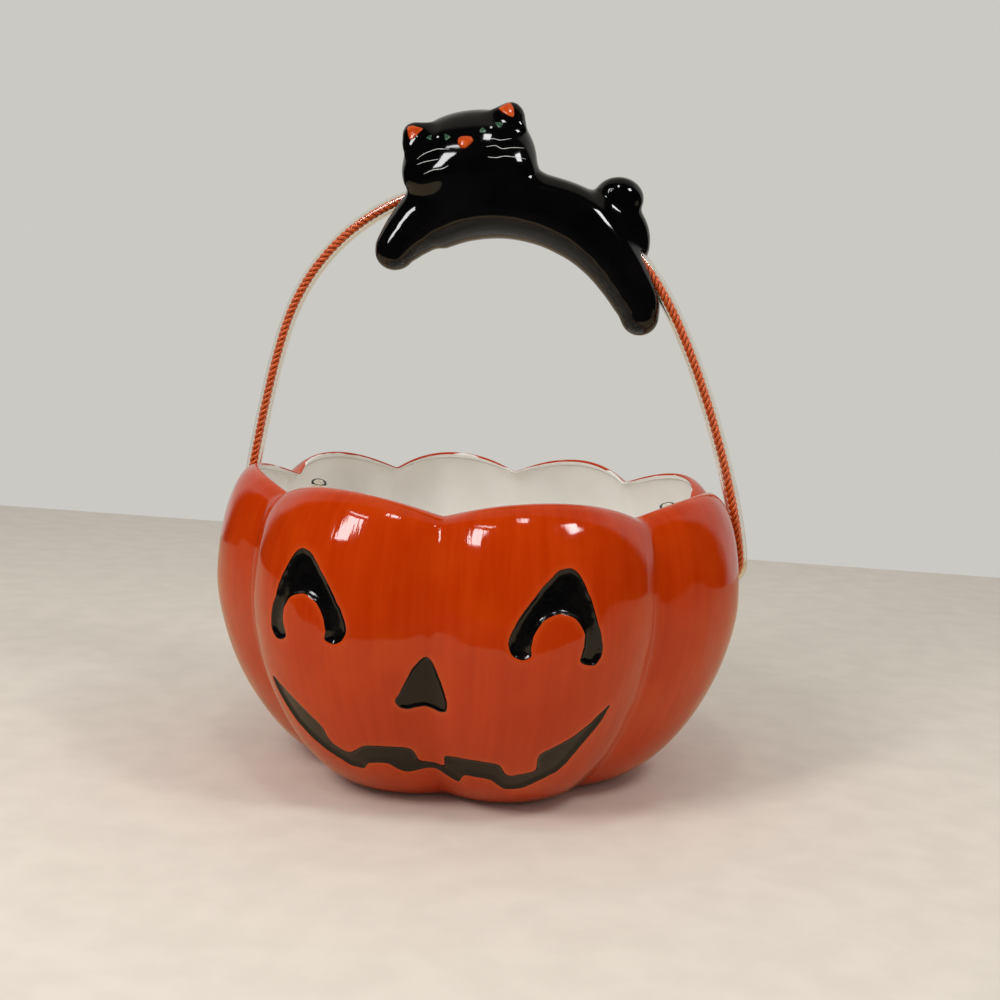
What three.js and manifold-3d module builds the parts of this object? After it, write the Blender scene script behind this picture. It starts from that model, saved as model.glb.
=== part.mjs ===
// A glazed pumpkin candy bowl with a clear tube handle and a cat threaded on it.
// Millimetres, +Z up. The face looks along -Y, and +X is on the viewer's right.
// The origin is the middle of the flat base, on the surface that the bowl stands on.

import * as THREE from 'three';
import { mergeVertices } from 'three/addons/utils/BufferGeometryUtils.js';
import Module from 'manifold-3d';

const wasm = await Module();
wasm.setup();

const DEG = Math.PI / 180;

// Bowl: a slip-cast wall of eight lobes with a crease between each pair
const bellyRadius = 102;
const bellyHeight = 70.5;
const footRadius = 55.6;
const rimRadius = 92.5;
const rimHeight = 112.4;
const wallThickness = 4.5;
const floorThickness = 6;
const floorRadius = 54;
const lowerWallCurve = 1.65;
const rimLeanIn = 71 * DEG;
const creaseDepthAtFoot = 4.7;
const creaseDepthAtBelly = 6.7;
const creaseDepthAtRim = 5.4;
const creaseSoftness = 1.15;
const rimDipAtCreases = 5.9;
const frontLobeSwell = 4.8;
const swellShareAtFoot = 0.7;
const swellShareAtRim = 0.25;
const lobeWidths = { front: 49.5 * DEG, side: 52.2 * DEG, rearSide: 40.7 * DEG };
const columnsPerLobe = 10;

// Handle: a clear tube through a hole in each side wall, with its ends hooked up inside
const tubeRadius = 3;
const tubeBoreRadius = 2.15;
const cordRadius = 1.7;
const hingeHeight = 76;
const hingeSetback = 8.5;
const tubeSeatGap = 0.3;
const wallHoleRadius = 5.6;
const legClearance = 0.66;
const elbowRadius = 6.5;
const topArcRadius = 82.9;
const topArcCentreX = -5.8;
const topArcCentreHeight = 140.7;
const topArcRightEnd = 36.5 * DEG;
const topArcLeftEnd = 163 * DEG;
const rightLegPulls = { top: 35.7, foot: 15 };
const leftLegPulls = { top: 28.8, foot: 4 };
const rightHookInset = 9.8;
const leftHookInset = 14.8;
const hookRadius = 16;
const hookTurn = 79 * DEG;
const hookTail = 17.5;
const hookLeanForward = 19 * DEG;
const cordTail = 5;

// Face: black glaze lies in shallow hollows
const glazeDepth = 1.2;
const glazeSink = 0.2;
const glazeClearance = 0.3;

// Cat: a hollow glazed figure lying along the top of the handle
const catChannelClearance = 0.6;
const catWall = 4.5;
const headForward = 6;
const headHalfWidth = 25.8;
const headHalfDepth = 15.5;
const headHalfHeight = 16.2;
const headTilt = 5 * DEG;
const headRoundness = 2.55;
const tailSetback = 4.5;
const earGlazeDepth = 1;

const orangeGlaze = { color: 0xc23a06, roughness: 0.12, metalness: 0 };
const blackGlaze = { color: 0x0b0b0c, roughness: 0.1, metalness: 0 };
const clearVinyl = { color: 0xdfe3e0, roughness: 0.15, metalness: 0, transparent: true, opacity: 0.35 };
const orangeCord = { color: 0xc8480f, roughness: 0.55, metalness: 0 };

// A closed solid for joining and cutting, from any closed three.js geometry
function solidFrom(geometry) {
  const bare = geometry.index ? geometry.toNonIndexed() : geometry.clone();
  bare.deleteAttribute('normal');
  bare.deleteAttribute('uv');
  const merged = mergeVertices(bare, 1e-4);
  return new wasm.Manifold(new wasm.Mesh({
    numProp: 3,
    vertProperties: new Float32Array(merged.attributes.position.array),
    triVerts: new Uint32Array(merged.index.array),
  }));
}

function geometryFrom(solid) {
  const mesh = solid.getMesh();
  const geometry = new THREE.BufferGeometry();
  geometry.setAttribute('position', new THREE.BufferAttribute(new Float32Array(mesh.vertProperties), 3));
  geometry.setIndex(new THREE.BufferAttribute(new Uint32Array(mesh.triVerts), 1));
  geometry.computeVertexNormals();
  return geometry;
}

function namedMesh(name, geometry, finish) {
  const mesh = new THREE.Mesh(geometry, new THREE.MeshStandardMaterial(finish));
  mesh.name = name;
  return mesh;
}

// Rings of equal count joined in order, with a point closing each end
function closedSkin(startPoint, rings, endPoint) {
  const count = rings[0].length;
  const points = [startPoint, ...rings.flat(), endPoint];
  const last = points.length - 1;
  const index = [];
  const at = (ring, column) => 1 + ring * count + (column % count);
  for (let column = 0; column < count; column += 1) {
    index.push(0, at(0, column + 1), at(0, column));
    for (let ring = 0; ring + 1 < rings.length; ring += 1) {
      index.push(at(ring, column), at(ring, column + 1), at(ring + 1, column + 1));
      index.push(at(ring, column), at(ring + 1, column + 1), at(ring + 1, column));
    }
    index.push(last, at(rings.length - 1, column), at(rings.length - 1, column + 1));
  }
  const geometry = new THREE.BufferGeometry();
  geometry.setAttribute('position', new THREE.Float32BufferAttribute(points.flatMap((p) => p.toArray()), 3));
  geometry.setIndex(index);
  return geometry;
}

// The lobes run round from the front on both sides, so the last width is what is left
function lobeColumns() {
  const { front, side, rearSide } = lobeWidths;
  const widths = [front, side, rearSide, Math.PI - front - side - rearSide];
  const rightHalf = [];
  let edge = 0;
  widths.forEach((width, lobe) => {
    for (let step = 0; step < columnsPerLobe; step += 1) {
      const across = (2 * step) / columnsPerLobe - 1;
      const bulge = (1 - across * across) ** creaseSoftness;
      rightHalf.push({ angle: edge + (width * step) / columnsPerLobe, bulge, inFront: lobe === 0 });
    }
    edge += width;
  });
  const rear = { angle: Math.PI, bulge: 0, inFront: false };
  const leftHalf = rightHalf.slice(1).reverse().map((column) => ({ ...column, angle: -column.angle }));
  return [...rightHalf, rear, ...leftHalf];
}

const columns = lobeColumns();
const outerShell = { foot: footRadius, belly: bellyRadius, base: 0 };
const innerShell = { foot: floorRadius, belly: bellyRadius - wallThickness, base: floorThickness };

// Height along the wall: 0 at the foot, 1 at the belly, 2 where the rim's rounding starts
function wallPoint(shell, along, column) {
  const rimStart = rimHeight - wallThickness / 2;
  let radius;
  let height;
  let creaseDepth;
  let dip = 0;
  if (along <= 1) {
    const turn = (along * Math.PI) / 2;
    const power = 2 / lowerWallCurve;
    radius = shell.foot + (shell.belly - shell.foot) * Math.sin(turn) ** power;
    height = shell.base + (bellyHeight - shell.base) * (1 - Math.max(Math.cos(turn), 0) ** power);
    creaseDepth = THREE.MathUtils.lerp(creaseDepthAtFoot, creaseDepthAtBelly, Math.sin(turn));
  } else {
    const turn = (along - 1) * rimLeanIn;
    const leanShare = (1 - Math.cos(turn)) / (1 - Math.cos(rimLeanIn));
    radius = shell.belly - (bellyRadius - rimRadius) * leanShare;
    height = bellyHeight + ((rimStart - bellyHeight) * Math.sin(turn)) / Math.sin(rimLeanIn);
    creaseDepth = THREE.MathUtils.lerp(creaseDepthAtBelly, creaseDepthAtRim, (along - 1) ** 2);
    dip = rimDipAtCreases * (along - 1) ** 2;
  }
  const hollow = 1 - column.bulge;
  radius -= creaseDepth * hollow;
  if (column.inFront) {
    const endShare = along < 1 ? swellShareAtFoot : swellShareAtRim;
    const share = THREE.MathUtils.lerp(endShare, 1, Math.sin((along * Math.PI) / 2));
    radius += frontLobeSwell * share * column.bulge;
  }
  height -= dip * hollow;
  return new THREE.Vector3(radius * Math.sin(column.angle), -radius * Math.cos(column.angle), height);
}

function wallRings(shell, steps) {
  const rings = [];
  for (let step = 0; step <= steps; step += 1) {
    const along = (2 * step) / steps;
    rings.push(columns.map((column) => wallPoint(shell, along, column)));
  }
  return rings;
}

// A half round over the wall's top edge, from the outer face to the inner one
function rimRings(outerTop, innerTop, steps) {
  const rings = [];
  for (let step = 1; step < steps; step += 1) {
    const turn = (Math.PI * step) / steps;
    rings.push(columns.map((column, i) => {
      const middle = outerTop[i].clone().add(innerTop[i]).multiplyScalar(0.5);
      const outward = outerTop[i].clone().sub(middle).multiplyScalar(Math.cos(turn));
      const lift = (wallThickness / 2) * Math.sin(turn);
      return middle.add(outward).add(new THREE.Vector3(0, 0, lift));
    }));
  }
  return rings;
}

const outerRings = wallRings(outerShell, 14);
const innerRings = wallRings(innerShell, 12).reverse();
const rim = rimRings(outerRings.at(-1), innerRings[0], 5);
const baseMiddle = new THREE.Vector3(0, 0, 0);
const floorMiddle = new THREE.Vector3(0, 0, floorThickness);
const bowlShell = closedSkin(baseMiddle, [...outerRings, ...rim, ...innerRings], floorMiddle);
const bowlBlock = closedSkin(baseMiddle, outerRings, new THREE.Vector3(0, 0, rimHeight));

// The face as seen from straight in front: X across and height above the base
const eyeOutline = [
  [44.6, 93], [47.6, 91], [51.8, 83.6], [55.2, 73.4], [56.4, 67.6], [56.2, 64], [54.2, 61], [51.4, 61.2],
  [49.6, 62.9], [50.8, 68.1], [50.4, 72.6], [47.8, 76.6], [42.8, 78.5], [38, 76.3], [35, 71.4],
  [34.2, 67.2], [34.4, 64.2], [31.4, 62.8], [28.2, 64.4], [26.8, 68.4], [28.4, 73.4], [33.6, 82.2],
  [40.4, 91.2],
];
const noseOutline = [
  [-1.4, 60], [-5.6, 55.6], [-9.4, 47.6], [-11.2, 43.9], [-9.6, 41.3], [-6.4, 40.9], [-2, 42], [2.8, 40.4],
  [5.4, 41], [6.1, 44.2], [4.5, 49.8], [1.4, 57.4],
];
const mouthOutline = [
  [-58.2, 45], [-56, 38.9], [-48.9, 29.3], [-40.8, 22.2], [-30.1, 15.6], [-24.9, 14.8], [-22.1, 17.8],
  [-15.7, 18.1], [-10.1, 14.6], [-1.2, 16.2], [7.8, 11.9], [10.8, 15.7], [19.7, 15.2], [24.6, 11.2],
  [30.5, 12], [38.1, 16.6], [43.9, 20.8], [49.8, 29.2], [56.1, 38.3], [59.2, 45], [53.1, 38.8],
  [46.8, 33.4], [37.2, 27.4], [35.2, 20.4], [27.4, 18], [25.2, 19], [22.1, 23], [5, 22.9], [3, 18.4],
  [-4.8, 19.9], [-7.9, 25.2], [-22, 25.5], [-28, 21.9], [-31, 22], [-35.4, 25], [-38.7, 31.4],
  [-49.2, 39.7],
];

const mirrored = (outline) => outline.map(([x, z]) => [-x, z]);

// The same outline drawn in by a margin, each corner moved along the mean of its sides' normals
function drawnIn(outline, margin) {
  const points = outline.map(([x, z]) => new THREE.Vector2(x, z));
  const inward = THREE.ShapeUtils.isClockWise(points) ? -1 : 1;
  return points.map((point, i) => {
    const before = points[(i + points.length - 1) % points.length];
    const after = points[(i + 1) % points.length];
    const first = point.clone().sub(before).normalize();
    const second = after.clone().sub(point).normalize();
    const along = first.clone().add(second).normalize();
    const normal = new THREE.Vector2(-along.y, along.x).multiplyScalar(inward);
    const stretch = Math.max(Math.abs(along.dot(first)), 0.3);
    return point.clone().add(normal.multiplyScalar(margin / stretch)).toArray();
  });
}

// The outline as a bar that runs forwards from the XZ plane
function forwardBar(outline, length) {
  const shape = new THREE.Shape(outline.map(([x, z]) => new THREE.Vector2(x, z)));
  const bar = new THREE.ExtrudeGeometry(shape, { depth: length, steps: 1, bevelEnabled: false });
  return solidFrom(bar.rotateX(Math.PI / 2));
}

// The layer of a body that lies between two depths behind its front face
function frontLayer(body, from, to) {
  const near = solidFrom(body.clone().translate(0, from, 0));
  const far = solidFrom(body.clone().translate(0, to, 0));
  return near.subtract(far);
}

// A hollow in the front of a body and the glaze that fills it
function glazedHollow(body, outline, depth, barLength) {
  const hollow = forwardBar(outline, barLength).intersect(frontLayer(body, -depth, depth));
  const glazeBar = forwardBar(drawnIn(outline, glazeClearance), barLength);
  const glaze = glazeBar.intersect(frontLayer(body, glazeSink, depth - glazeClearance));
  return { hollow, glaze };
}

const faceBarLength = 1.1 * (bellyRadius + frontLobeSwell);
const face = {
  left_eye_glaze: mirrored(eyeOutline),
  right_eye_glaze: eyeOutline,
  nose_glaze: noseOutline,
  mouth_glaze: mouthOutline,
};

// The tube lies on the lower edge of its hole, so the hole's middle is above the hinge line
const wallHoleRise = wallHoleRadius - tubeRadius - tubeSeatGap;

function wallHoles() {
  const length = 2 * (bellyRadius + frontLobeSwell);
  const bar = new THREE.CylinderGeometry(wallHoleRadius, wallHoleRadius, length, 24);
  bar.rotateZ(Math.PI / 2).translate(0, hingeSetback, hingeHeight + wallHoleRise);
  return solidFrom(bar);
}

const bowlParts = new THREE.Group();
let bowlSolid = solidFrom(bowlShell).subtract(wallHoles());
for (const [name, outline] of Object.entries(face)) {
  const { hollow, glaze } = glazedHollow(bowlBlock, outline, glazeDepth, faceBarLength);
  bowlSolid = bowlSolid.subtract(hollow);
  bowlParts.add(namedMesh(name, geometryFrom(glaze), blackGlaze));
}
bowlParts.add(namedMesh('bowl', geometryFrom(bowlSolid), orangeGlaze));

// How far out the wall reaches level with the hinge line, just above its holes
function wallReachAboveHoles() {
  const holeTop = hingeHeight + wallHoleRise + wallHoleRadius;
  const ring = outerRings.find((points) => points[0].z > holeTop);
  const behind = ring.findIndex((point) => point.y > hingeSetback);
  const [near, far] = [ring[behind - 1], ring[behind]];
  return THREE.MathUtils.mapLinear(hingeSetback, near.y, far.y, near.x, far.x);
}

// Handle frame: X along the hinge line, Z up, with the origin on the hinge line
const legReach = wallReachAboveHoles() + legClearance + tubeRadius;
const topArcCentre = new THREE.Vector3(topArcCentreX, 0, topArcCentreHeight - hingeHeight);

const onArc = (centre, radius, angle) => new THREE.Vector3(
  centre.x + radius * Math.cos(angle),
  0,
  centre.z + radius * Math.sin(angle),
);

function arcPoints(centre, radius, from, to, steps) {
  const points = [];
  for (let step = 0; step <= steps; step += 1) {
    points.push(onArc(centre, radius, THREE.MathUtils.lerp(from, to, step / steps)));
  }
  return points;
}

// One side of the tube from the top arc's end down to its open end inside the bowl.
// It is worked out for the right side, and the left side is turned over in X.
function sideRoute(side, arcEnd, pulls, hookInset, tail) {
  const start = onArc(topArcCentre, topArcRadius, arcEnd);
  const startHeading = new THREE.Vector3(Math.sin(arcEnd), 0, -Math.cos(arcEnd)).multiplyScalar(side);
  start.x *= side;
  startHeading.x *= side;
  const foot = new THREE.Vector3(legReach, 0, elbowRadius);
  const leg = new THREE.CubicBezierCurve3(
    start,
    start.clone().addScaledVector(startHeading, pulls.top),
    foot.clone().add(new THREE.Vector3(0, 0, pulls.foot)),
    foot,
  );
  const elbowCentre = new THREE.Vector3(legReach - elbowRadius, 0, elbowRadius);
  const elbow = arcPoints(elbowCentre, elbowRadius, 0, -Math.PI / 2, 6);
  const hookCentre = new THREE.Vector3(legReach - hookInset, 0, hookRadius);
  const hook = arcPoints(hookCentre, hookRadius, -Math.PI / 2, -Math.PI / 2 - hookTurn, 6);
  const tailHeading = new THREE.Vector3(-Math.cos(hookTurn), 0, Math.sin(hookTurn));
  hook.push(hook.at(-1).clone().addScaledVector(tailHeading, tail));
  for (const point of hook) {
    point.set(point.x, -point.z * Math.sin(hookLeanForward), point.z * Math.cos(hookLeanForward));
  }
  const route = [...leg.getPoints(12).slice(1), ...elbow.slice(1), ...hook];
  route.forEach((point) => { point.x *= side; });
  return route;
}

function handleRoute(tail) {
  const left = sideRoute(-1, topArcLeftEnd, leftLegPulls, leftHookInset, tail);
  const right = sideRoute(1, topArcRightEnd, rightLegPulls, rightHookInset, tail);
  const top = arcPoints(topArcCentre, topArcRadius, topArcLeftEnd, topArcRightEnd, 20);
  return [...left.reverse(), ...top, ...right];
}

// A curve through given stations, one to each step of an extrusion
class StationCurve extends THREE.Curve {
  constructor(stations) {
    super();
    this.stations = stations;
  }

  getPoint(t, target = new THREE.Vector3()) {
    const place = t * (this.stations.length - 1);
    const before = Math.min(Math.floor(place), this.stations.length - 2);
    return target.lerpVectors(this.stations[before], this.stations[before + 1], place - before);
  }

  getPointAt(u, target) {
    return this.getPoint(u, target);
  }

  getTangentAt(u, target = new THREE.Vector3()) {
    const last = this.stations.length - 1;
    const i = Math.round(u * last);
    const here = this.stations[i];
    const ahead = this.stations[Math.min(i + 1, last)].clone().sub(here).normalize();
    const behind = here.clone().sub(this.stations[Math.max(i - 1, 0)]).normalize();
    return target.copy(ahead).add(behind).normalize();
  }
}

function ringPoints(radius, sides) {
  const points = [];
  for (let side = 0; side < sides; side += 1) {
    const angle = (2 * Math.PI * side) / sides;
    points.push(new THREE.Vector2(radius * Math.cos(angle), radius * Math.sin(angle)));
  }
  return points;
}

function sweep(stations, radius, sides, boreRadius = 0) {
  const section = new THREE.Shape(ringPoints(radius, sides));
  if (boreRadius > 0) {
    section.holes.push(new THREE.Path(ringPoints(boreRadius, sides).reverse()));
  }
  return new THREE.ExtrudeGeometry(section, {
    steps: stations.length - 1,
    bevelEnabled: false,
    extrudePath: new StationCurve(stations),
  });
}

const handle = new THREE.Group();
handle.position.set(0, hingeSetback, hingeHeight);
const tubeGeometry = sweep(handleRoute(hookTail), tubeRadius, 10, tubeBoreRadius);
handle.add(namedMesh('handle_tube', tubeGeometry, clearVinyl));
handle.add(namedMesh('handle_cord', sweep(handleRoute(cordTail), cordRadius, 8), orangeCord));

// Cat frame: the origin is the middle of the handle's top arc, so the cat slides by turning
const cat = new THREE.Group();
cat.position.copy(topArcCentre);
handle.add(cat);

// A limb's stations: place in X and Z, half its height across the limb and half its depth in Y
const catBody = [
  { x: -36.4, z: 54.5, tall: 6.4, deep: 6.6 },
  { x: -32.6, z: 59.8, tall: 9.8, deep: 8.8 },
  { x: -24.4, z: 67, tall: 12.9, deep: 11 },
  { x: -12.2, z: 72.4, tall: 13.6, deep: 12.2 },
  { x: 2, z: 75.2, tall: 13.4, deep: 12.5 },
  { x: 16.8, z: 75.3, tall: 13.2, deep: 12.5 },
  { x: 30.2, z: 72.2, tall: 13.2, deep: 12.5 },
  { x: 41, z: 66, tall: 13, deep: 12.5 },
  { x: 50, z: 57.8, tall: 11.8, deep: 11.5 },
  { x: 56.4, z: 48.8, tall: 9.9, deep: 9.8 },
  { x: 60.8, z: 40.6, tall: 7.9, deep: 8 },
  { x: 62.6, z: 34, tall: 6.2, deep: 6.4 },
];
const catTail = [
  { x: 56.8, z: 55, tall: 4, deep: 5 },
  { x: 58.5, z: 60.6, tall: 5.4, deep: 6 },
  { x: 57.6, z: 66.8, tall: 5.8, deep: 6 },
  { x: 54.6, z: 72.6, tall: 5.8, deep: 6 },
  { x: 50.4, z: 76.8, tall: 6, deep: 6 },
];
const tailTip = { x: 51.6, z: 80, radius: 8.7 };
const headPlace = { x: -6.6, z: 91.9 };
const ears = {
  left: { x: -24.6, z: 96, tipX: -28.5, tipZ: 101.4, half: 9.2 },
  right: { x: 6.4, z: 101, tipX: 8.4, tipZ: 109.4, half: 9.4 },
};
const earThickness = 4.6;
const earTip = 3.9;
const innerEarOutlines = {
  left: [[-30.7, 103], [-25.6, 102.6], [-29.2, 97.6], [-30.8, 99]],
  right: [[4.2, 108.9], [9, 111.9], [10.9, 107.8], [8.2, 106.4], [6, 107.4]],
};
const catNose = { x: -5.7, z: 96.1, halfWidth: 3, halfDepth: 2.4, halfHeight: 2.3 };

function limbRing(station, heading, shrink, sides) {
  const across = new THREE.Vector3(0, 1, 0).cross(heading).normalize();
  const points = [];
  for (let side = 0; side < sides; side += 1) {
    const angle = (2 * Math.PI * side) / sides;
    const point = new THREE.Vector3(station.x, 0, station.z);
    point.addScaledVector(across, station.tall * shrink * Math.cos(angle));
    point.y += station.deep * shrink * Math.sin(angle);
    points.push(point);
  }
  return points;
}

// A limb through its stations, with a round end beyond the first and the last of them
function limb(stations, sides = 14) {
  const places = stations.map(({ x, z }) => new THREE.Vector3(x, 0, z));
  const headings = places.map((place, i) => {
    const after = places[Math.min(i + 1, places.length - 1)];
    return after.clone().sub(places[Math.max(i - 1, 0)]).normalize();
  });
  const roundEnd = (station, heading, turn) => {
    const reach = station.tall * Math.sin(turn);
    const moved = { ...station, x: station.x + heading.x * reach, z: station.z + heading.z * reach };
    return limbRing(moved, heading, Math.cos(turn), sides);
  };
  const first = stations[0];
  const last = stations.at(-1);
  const rings = [
    ...[-60, -30].map((turn) => roundEnd(first, headings[0], turn * DEG)),
    ...stations.map((station, i) => limbRing(station, headings[i], 1, sides)),
    ...[30, 60].map((turn) => roundEnd(last, headings.at(-1), turn * DEG)),
  ];
  const startPoint = places[0].clone().addScaledVector(headings[0], -first.tall);
  const endPoint = places.at(-1).clone().addScaledVector(headings.at(-1), last.tall);
  return closedSkin(startPoint, rings, endPoint);
}

// A ball pressed towards a box shape, the more so the higher its roundness number
function pressedBall(halfWidth, halfDepth, halfHeight, roundness, across = 20, up = 14) {
  const ball = new THREE.SphereGeometry(1, across, up);
  const place = ball.attributes.position;
  const point = new THREE.Vector3();
  for (let i = 0; i < place.count; i += 1) {
    point.fromBufferAttribute(place, i);
    const sum = Math.abs(point.x) ** roundness + Math.abs(point.y) ** roundness + Math.abs(point.z) ** roundness;
    point.multiplyScalar(sum ** (-1 / roundness));
    place.setXYZ(i, point.x * halfWidth, point.y * halfDepth, point.z * halfHeight);
  }
  return ball;
}

function headBall(margin) {
  const ball = pressedBall(
    headHalfWidth + margin,
    headHalfDepth + margin,
    headHalfHeight + margin,
    headRoundness,
  );
  return ball.rotateY(-headTilt).translate(headPlace.x, -headForward, headPlace.z);
}

function earGeometry({ x, z, tipX, tipZ, half }) {
  const root = { x, z, tall: half, deep: earThickness };
  const tip = { x: tipX, z: tipZ, tall: earTip, deep: earTip };
  const middle = {
    x: (x + tipX) / 2,
    z: (z + tipZ) / 2,
    tall: (half + earTip) / 1.75,
    deep: (earThickness + earTip) / 2,
  };
  return limb([root, middle, tip], 14).translate(0, -headForward, 0);
}

// The channel follows the top arc past both ends of the body, so the tube never meets the legs
const channelRoute = arcPoints(new THREE.Vector3(), topArcRadius, 130 * DEG, 12 * DEG, 18);
const channel = solidFrom(sweep(channelRoute, tubeRadius + catChannelClearance, 10));

const cavityStations = catBody.slice(2, 10).map((station) => ({
  ...station,
  tall: station.tall - catWall,
  deep: station.deep - catWall,
}));

const tailBall = new THREE.SphereGeometry(tailTip.radius, 18, 12).translate(tailTip.x, tailSetback, tailTip.z);
let catSolid = solidFrom(limb(catBody))
  .add(solidFrom(headBall(0)))
  .add(solidFrom(limb(catTail, 12).translate(0, tailSetback, 0)))
  .add(solidFrom(tailBall));

const innerEars = [];
const earBarLength = headForward + headHalfDepth;
for (const side of ['left', 'right']) {
  const ear = earGeometry(ears[side]);
  const { hollow, glaze } = glazedHollow(ear, innerEarOutlines[side], earGlazeDepth, earBarLength);
  catSolid = catSolid.add(solidFrom(ear)).subtract(hollow);
  innerEars.push(namedMesh(`cat_${side}_inner_ear`, geometryFrom(glaze), orangeGlaze));
}
catSolid = catSolid.subtract(solidFrom(limb(cavityStations))).subtract(channel);

const noseBall = pressedBall(catNose.halfWidth, catNose.halfDepth, catNose.halfHeight, 2, 12, 8);
noseBall.translate(catNose.x, -headForward - headHalfDepth, catNose.z);
const noseSolid = solidFrom(noseBall).subtract(solidFrom(headBall(glazeClearance)));

cat.add(namedMesh('cat_body', geometryFrom(catSolid), blackGlaze));
cat.add(namedMesh('cat_nose', geometryFrom(noseSolid), orangeGlaze));
cat.add(...innerEars);

const candyBowl = new THREE.Group();
candyBowl.add(bowlParts, handle);

export default candyBowl;
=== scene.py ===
# %% [markdown]
# This lesson dresses a measured model of a pumpkin candy bowl. The real one is slip-cast clay with
# a carved face, glazed orange outside and white inside. A clear vinyl tube with a twisted cord in
# it makes the handle, and a glazed cat is threaded on the tube. The measured model gives every
# size and every joint. The pieces made here stand in for its plain solids and move with them.

# %% Start from the measured frame
import math

import bmesh
import bpy
import numpy as np
from mathutils import Matrix, Vector, noise
from mathutils.bvhtree import BVHTree
from mathutils.geometry import delaunay_2d_cdt


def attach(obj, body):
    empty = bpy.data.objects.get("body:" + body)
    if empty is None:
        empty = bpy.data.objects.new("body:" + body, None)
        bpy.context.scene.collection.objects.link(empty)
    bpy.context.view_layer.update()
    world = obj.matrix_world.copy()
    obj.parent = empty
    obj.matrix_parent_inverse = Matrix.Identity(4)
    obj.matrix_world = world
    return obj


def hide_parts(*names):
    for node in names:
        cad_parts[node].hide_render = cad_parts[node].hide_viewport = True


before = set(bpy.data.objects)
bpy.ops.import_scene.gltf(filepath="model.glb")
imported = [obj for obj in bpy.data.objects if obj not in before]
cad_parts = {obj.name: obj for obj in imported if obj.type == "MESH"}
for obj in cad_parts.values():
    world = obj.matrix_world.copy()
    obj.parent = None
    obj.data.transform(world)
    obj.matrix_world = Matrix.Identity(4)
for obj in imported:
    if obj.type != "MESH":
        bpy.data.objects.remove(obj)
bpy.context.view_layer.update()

MM = 0.001

# %% [markdown]
# The camera comes first, because it decides how fine each piece has to be. Its place, turn and
# lens were fitted to the bowl's outline. Blender wants a rotation, so the three directions of the
# camera are put side by side in a matrix: its right, its up, and the way opposite to its view.

# %% Camera
camera_place = Vector((88.8, -539.3, 168.0)) * MM
heading, pitch, roll = (math.radians(value) for value in (8.685, 6.89, 2.845))
lens_share = 1.405

forward = Vector((
    -math.sin(heading) * math.cos(pitch),
    math.cos(heading) * math.cos(pitch),
    -math.sin(pitch),
))
level_right = forward.cross(Vector((0, 0, 1))).normalized()
level_up = level_right.cross(forward)
camera_right = level_right * math.cos(roll) + level_up * math.sin(roll)
camera_up = level_up * math.cos(roll) - level_right * math.sin(roll)

camera = bpy.data.objects.new("camera", bpy.data.cameras.new("camera"))
bpy.context.scene.collection.objects.link(camera)
turned = Matrix((camera_right, camera_up, -forward)).transposed()
camera.matrix_world = Matrix.Translation(camera_place) @ turned.to_4x4()
camera.data.lens = camera.data.sensor_width * lens_share
bpy.context.scene.camera = camera
print("lens in mm:", round(camera.data.lens, 2))

# %% [markdown]
# Materials are built from nodes. Writing each node by hand takes many lines, so a small helper
# adds a node, sets its plain values and links its inputs in one call. An input that is given a
# socket is linked, and any other value is set on the node's own socket.

# %% A helper for node materials
class Nodes:
    """A node tree that is filled by short calls"""

    def __init__(self, tree):
        self.tree = tree
        tree.nodes.clear()

    def add(self, kind, options=None, **inputs):
        """A new node. An input is given by its name, or by its number as i0, i1 and so on."""
        node = self.tree.nodes.new(kind)
        for name, value in (options or {}).items():
            setattr(node, name, value)
        for name, value in inputs.items():
            key = int(name[1:]) if name[0] == "i" and name[1:].isdigit() else name.replace("_", " ")
            if isinstance(value, bpy.types.NodeSocket):
                self.tree.links.new(value, node.inputs[key])
            else:
                node.inputs[key].default_value = value
        return node

    def math(self, operation, first, second=0.0, clamp=False):
        options = {"operation": operation, "use_clamp": clamp}
        return self.add("ShaderNodeMath", options, i0=first, i1=second).outputs[0]

    def spread(self, value, low, high, to_low=0.0, to_high=1.0):
        """Maps low to high onto another span with soft ends"""
        options = {"interpolation_type": "SMOOTHSTEP"}
        node = self.add("ShaderNodeMapRange", options, Value=value, From_Min=low, From_Max=high,
                        To_Min=to_low, To_Max=to_high)
        return node.outputs[0]

    def mix(self, share, first, second):
        """Blends two colours"""
        options = {"data_type": "RGBA"}
        return self.add("ShaderNodeMix", options, i0=share, i6=first, i7=second).outputs[2]

    def stretched(self, vector, scale):
        options = {"operation": "MULTIPLY"}
        return self.add("ShaderNodeVectorMath", options, i0=vector, i1=scale).outputs[0]

    def noise(self, vector, scale, detail=2.0, roughness=0.5):
        node = self.add("ShaderNodeTexNoise", None, Vector=vector, Scale=scale, Detail=detail,
                        Roughness=roughness)
        return node.outputs[0]

    def bump(self, height, distance, normal=None):
        node = self.add("ShaderNodeBump", None, Strength=1.0, Distance=distance, Height=height)
        if normal is not None:
            self.tree.links.new(normal, node.inputs["Normal"])
        return node.outputs[0]

    def attribute(self, name):
        return self.add("ShaderNodeAttribute", {"attribute_name": name}).outputs

    def place(self):
        """The point's place on the piece, in metres"""
        return self.add("ShaderNodeTexCoord").outputs["Object"]

    def finish(self, shader):
        self.add("ShaderNodeOutputMaterial", None, Surface=shader)


def colour(red, green, blue):
    """A colour in the 0 to 255 numbers of a picture, as Blender's linear colour"""
    shares = [value / 255 for value in (red, green, blue)]
    linear = [s / 12.92 if s <= 0.04045 else ((s + 0.055) / 1.055) ** 2.4 for s in shares]
    return (*linear, 1.0)


def new_material(name):
    material = bpy.data.materials.new(name)
    material.use_nodes = True
    return material, Nodes(material.node_tree)


print("middle grey as a linear colour:", round(colour(128, 128, 128)[0], 3))

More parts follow.
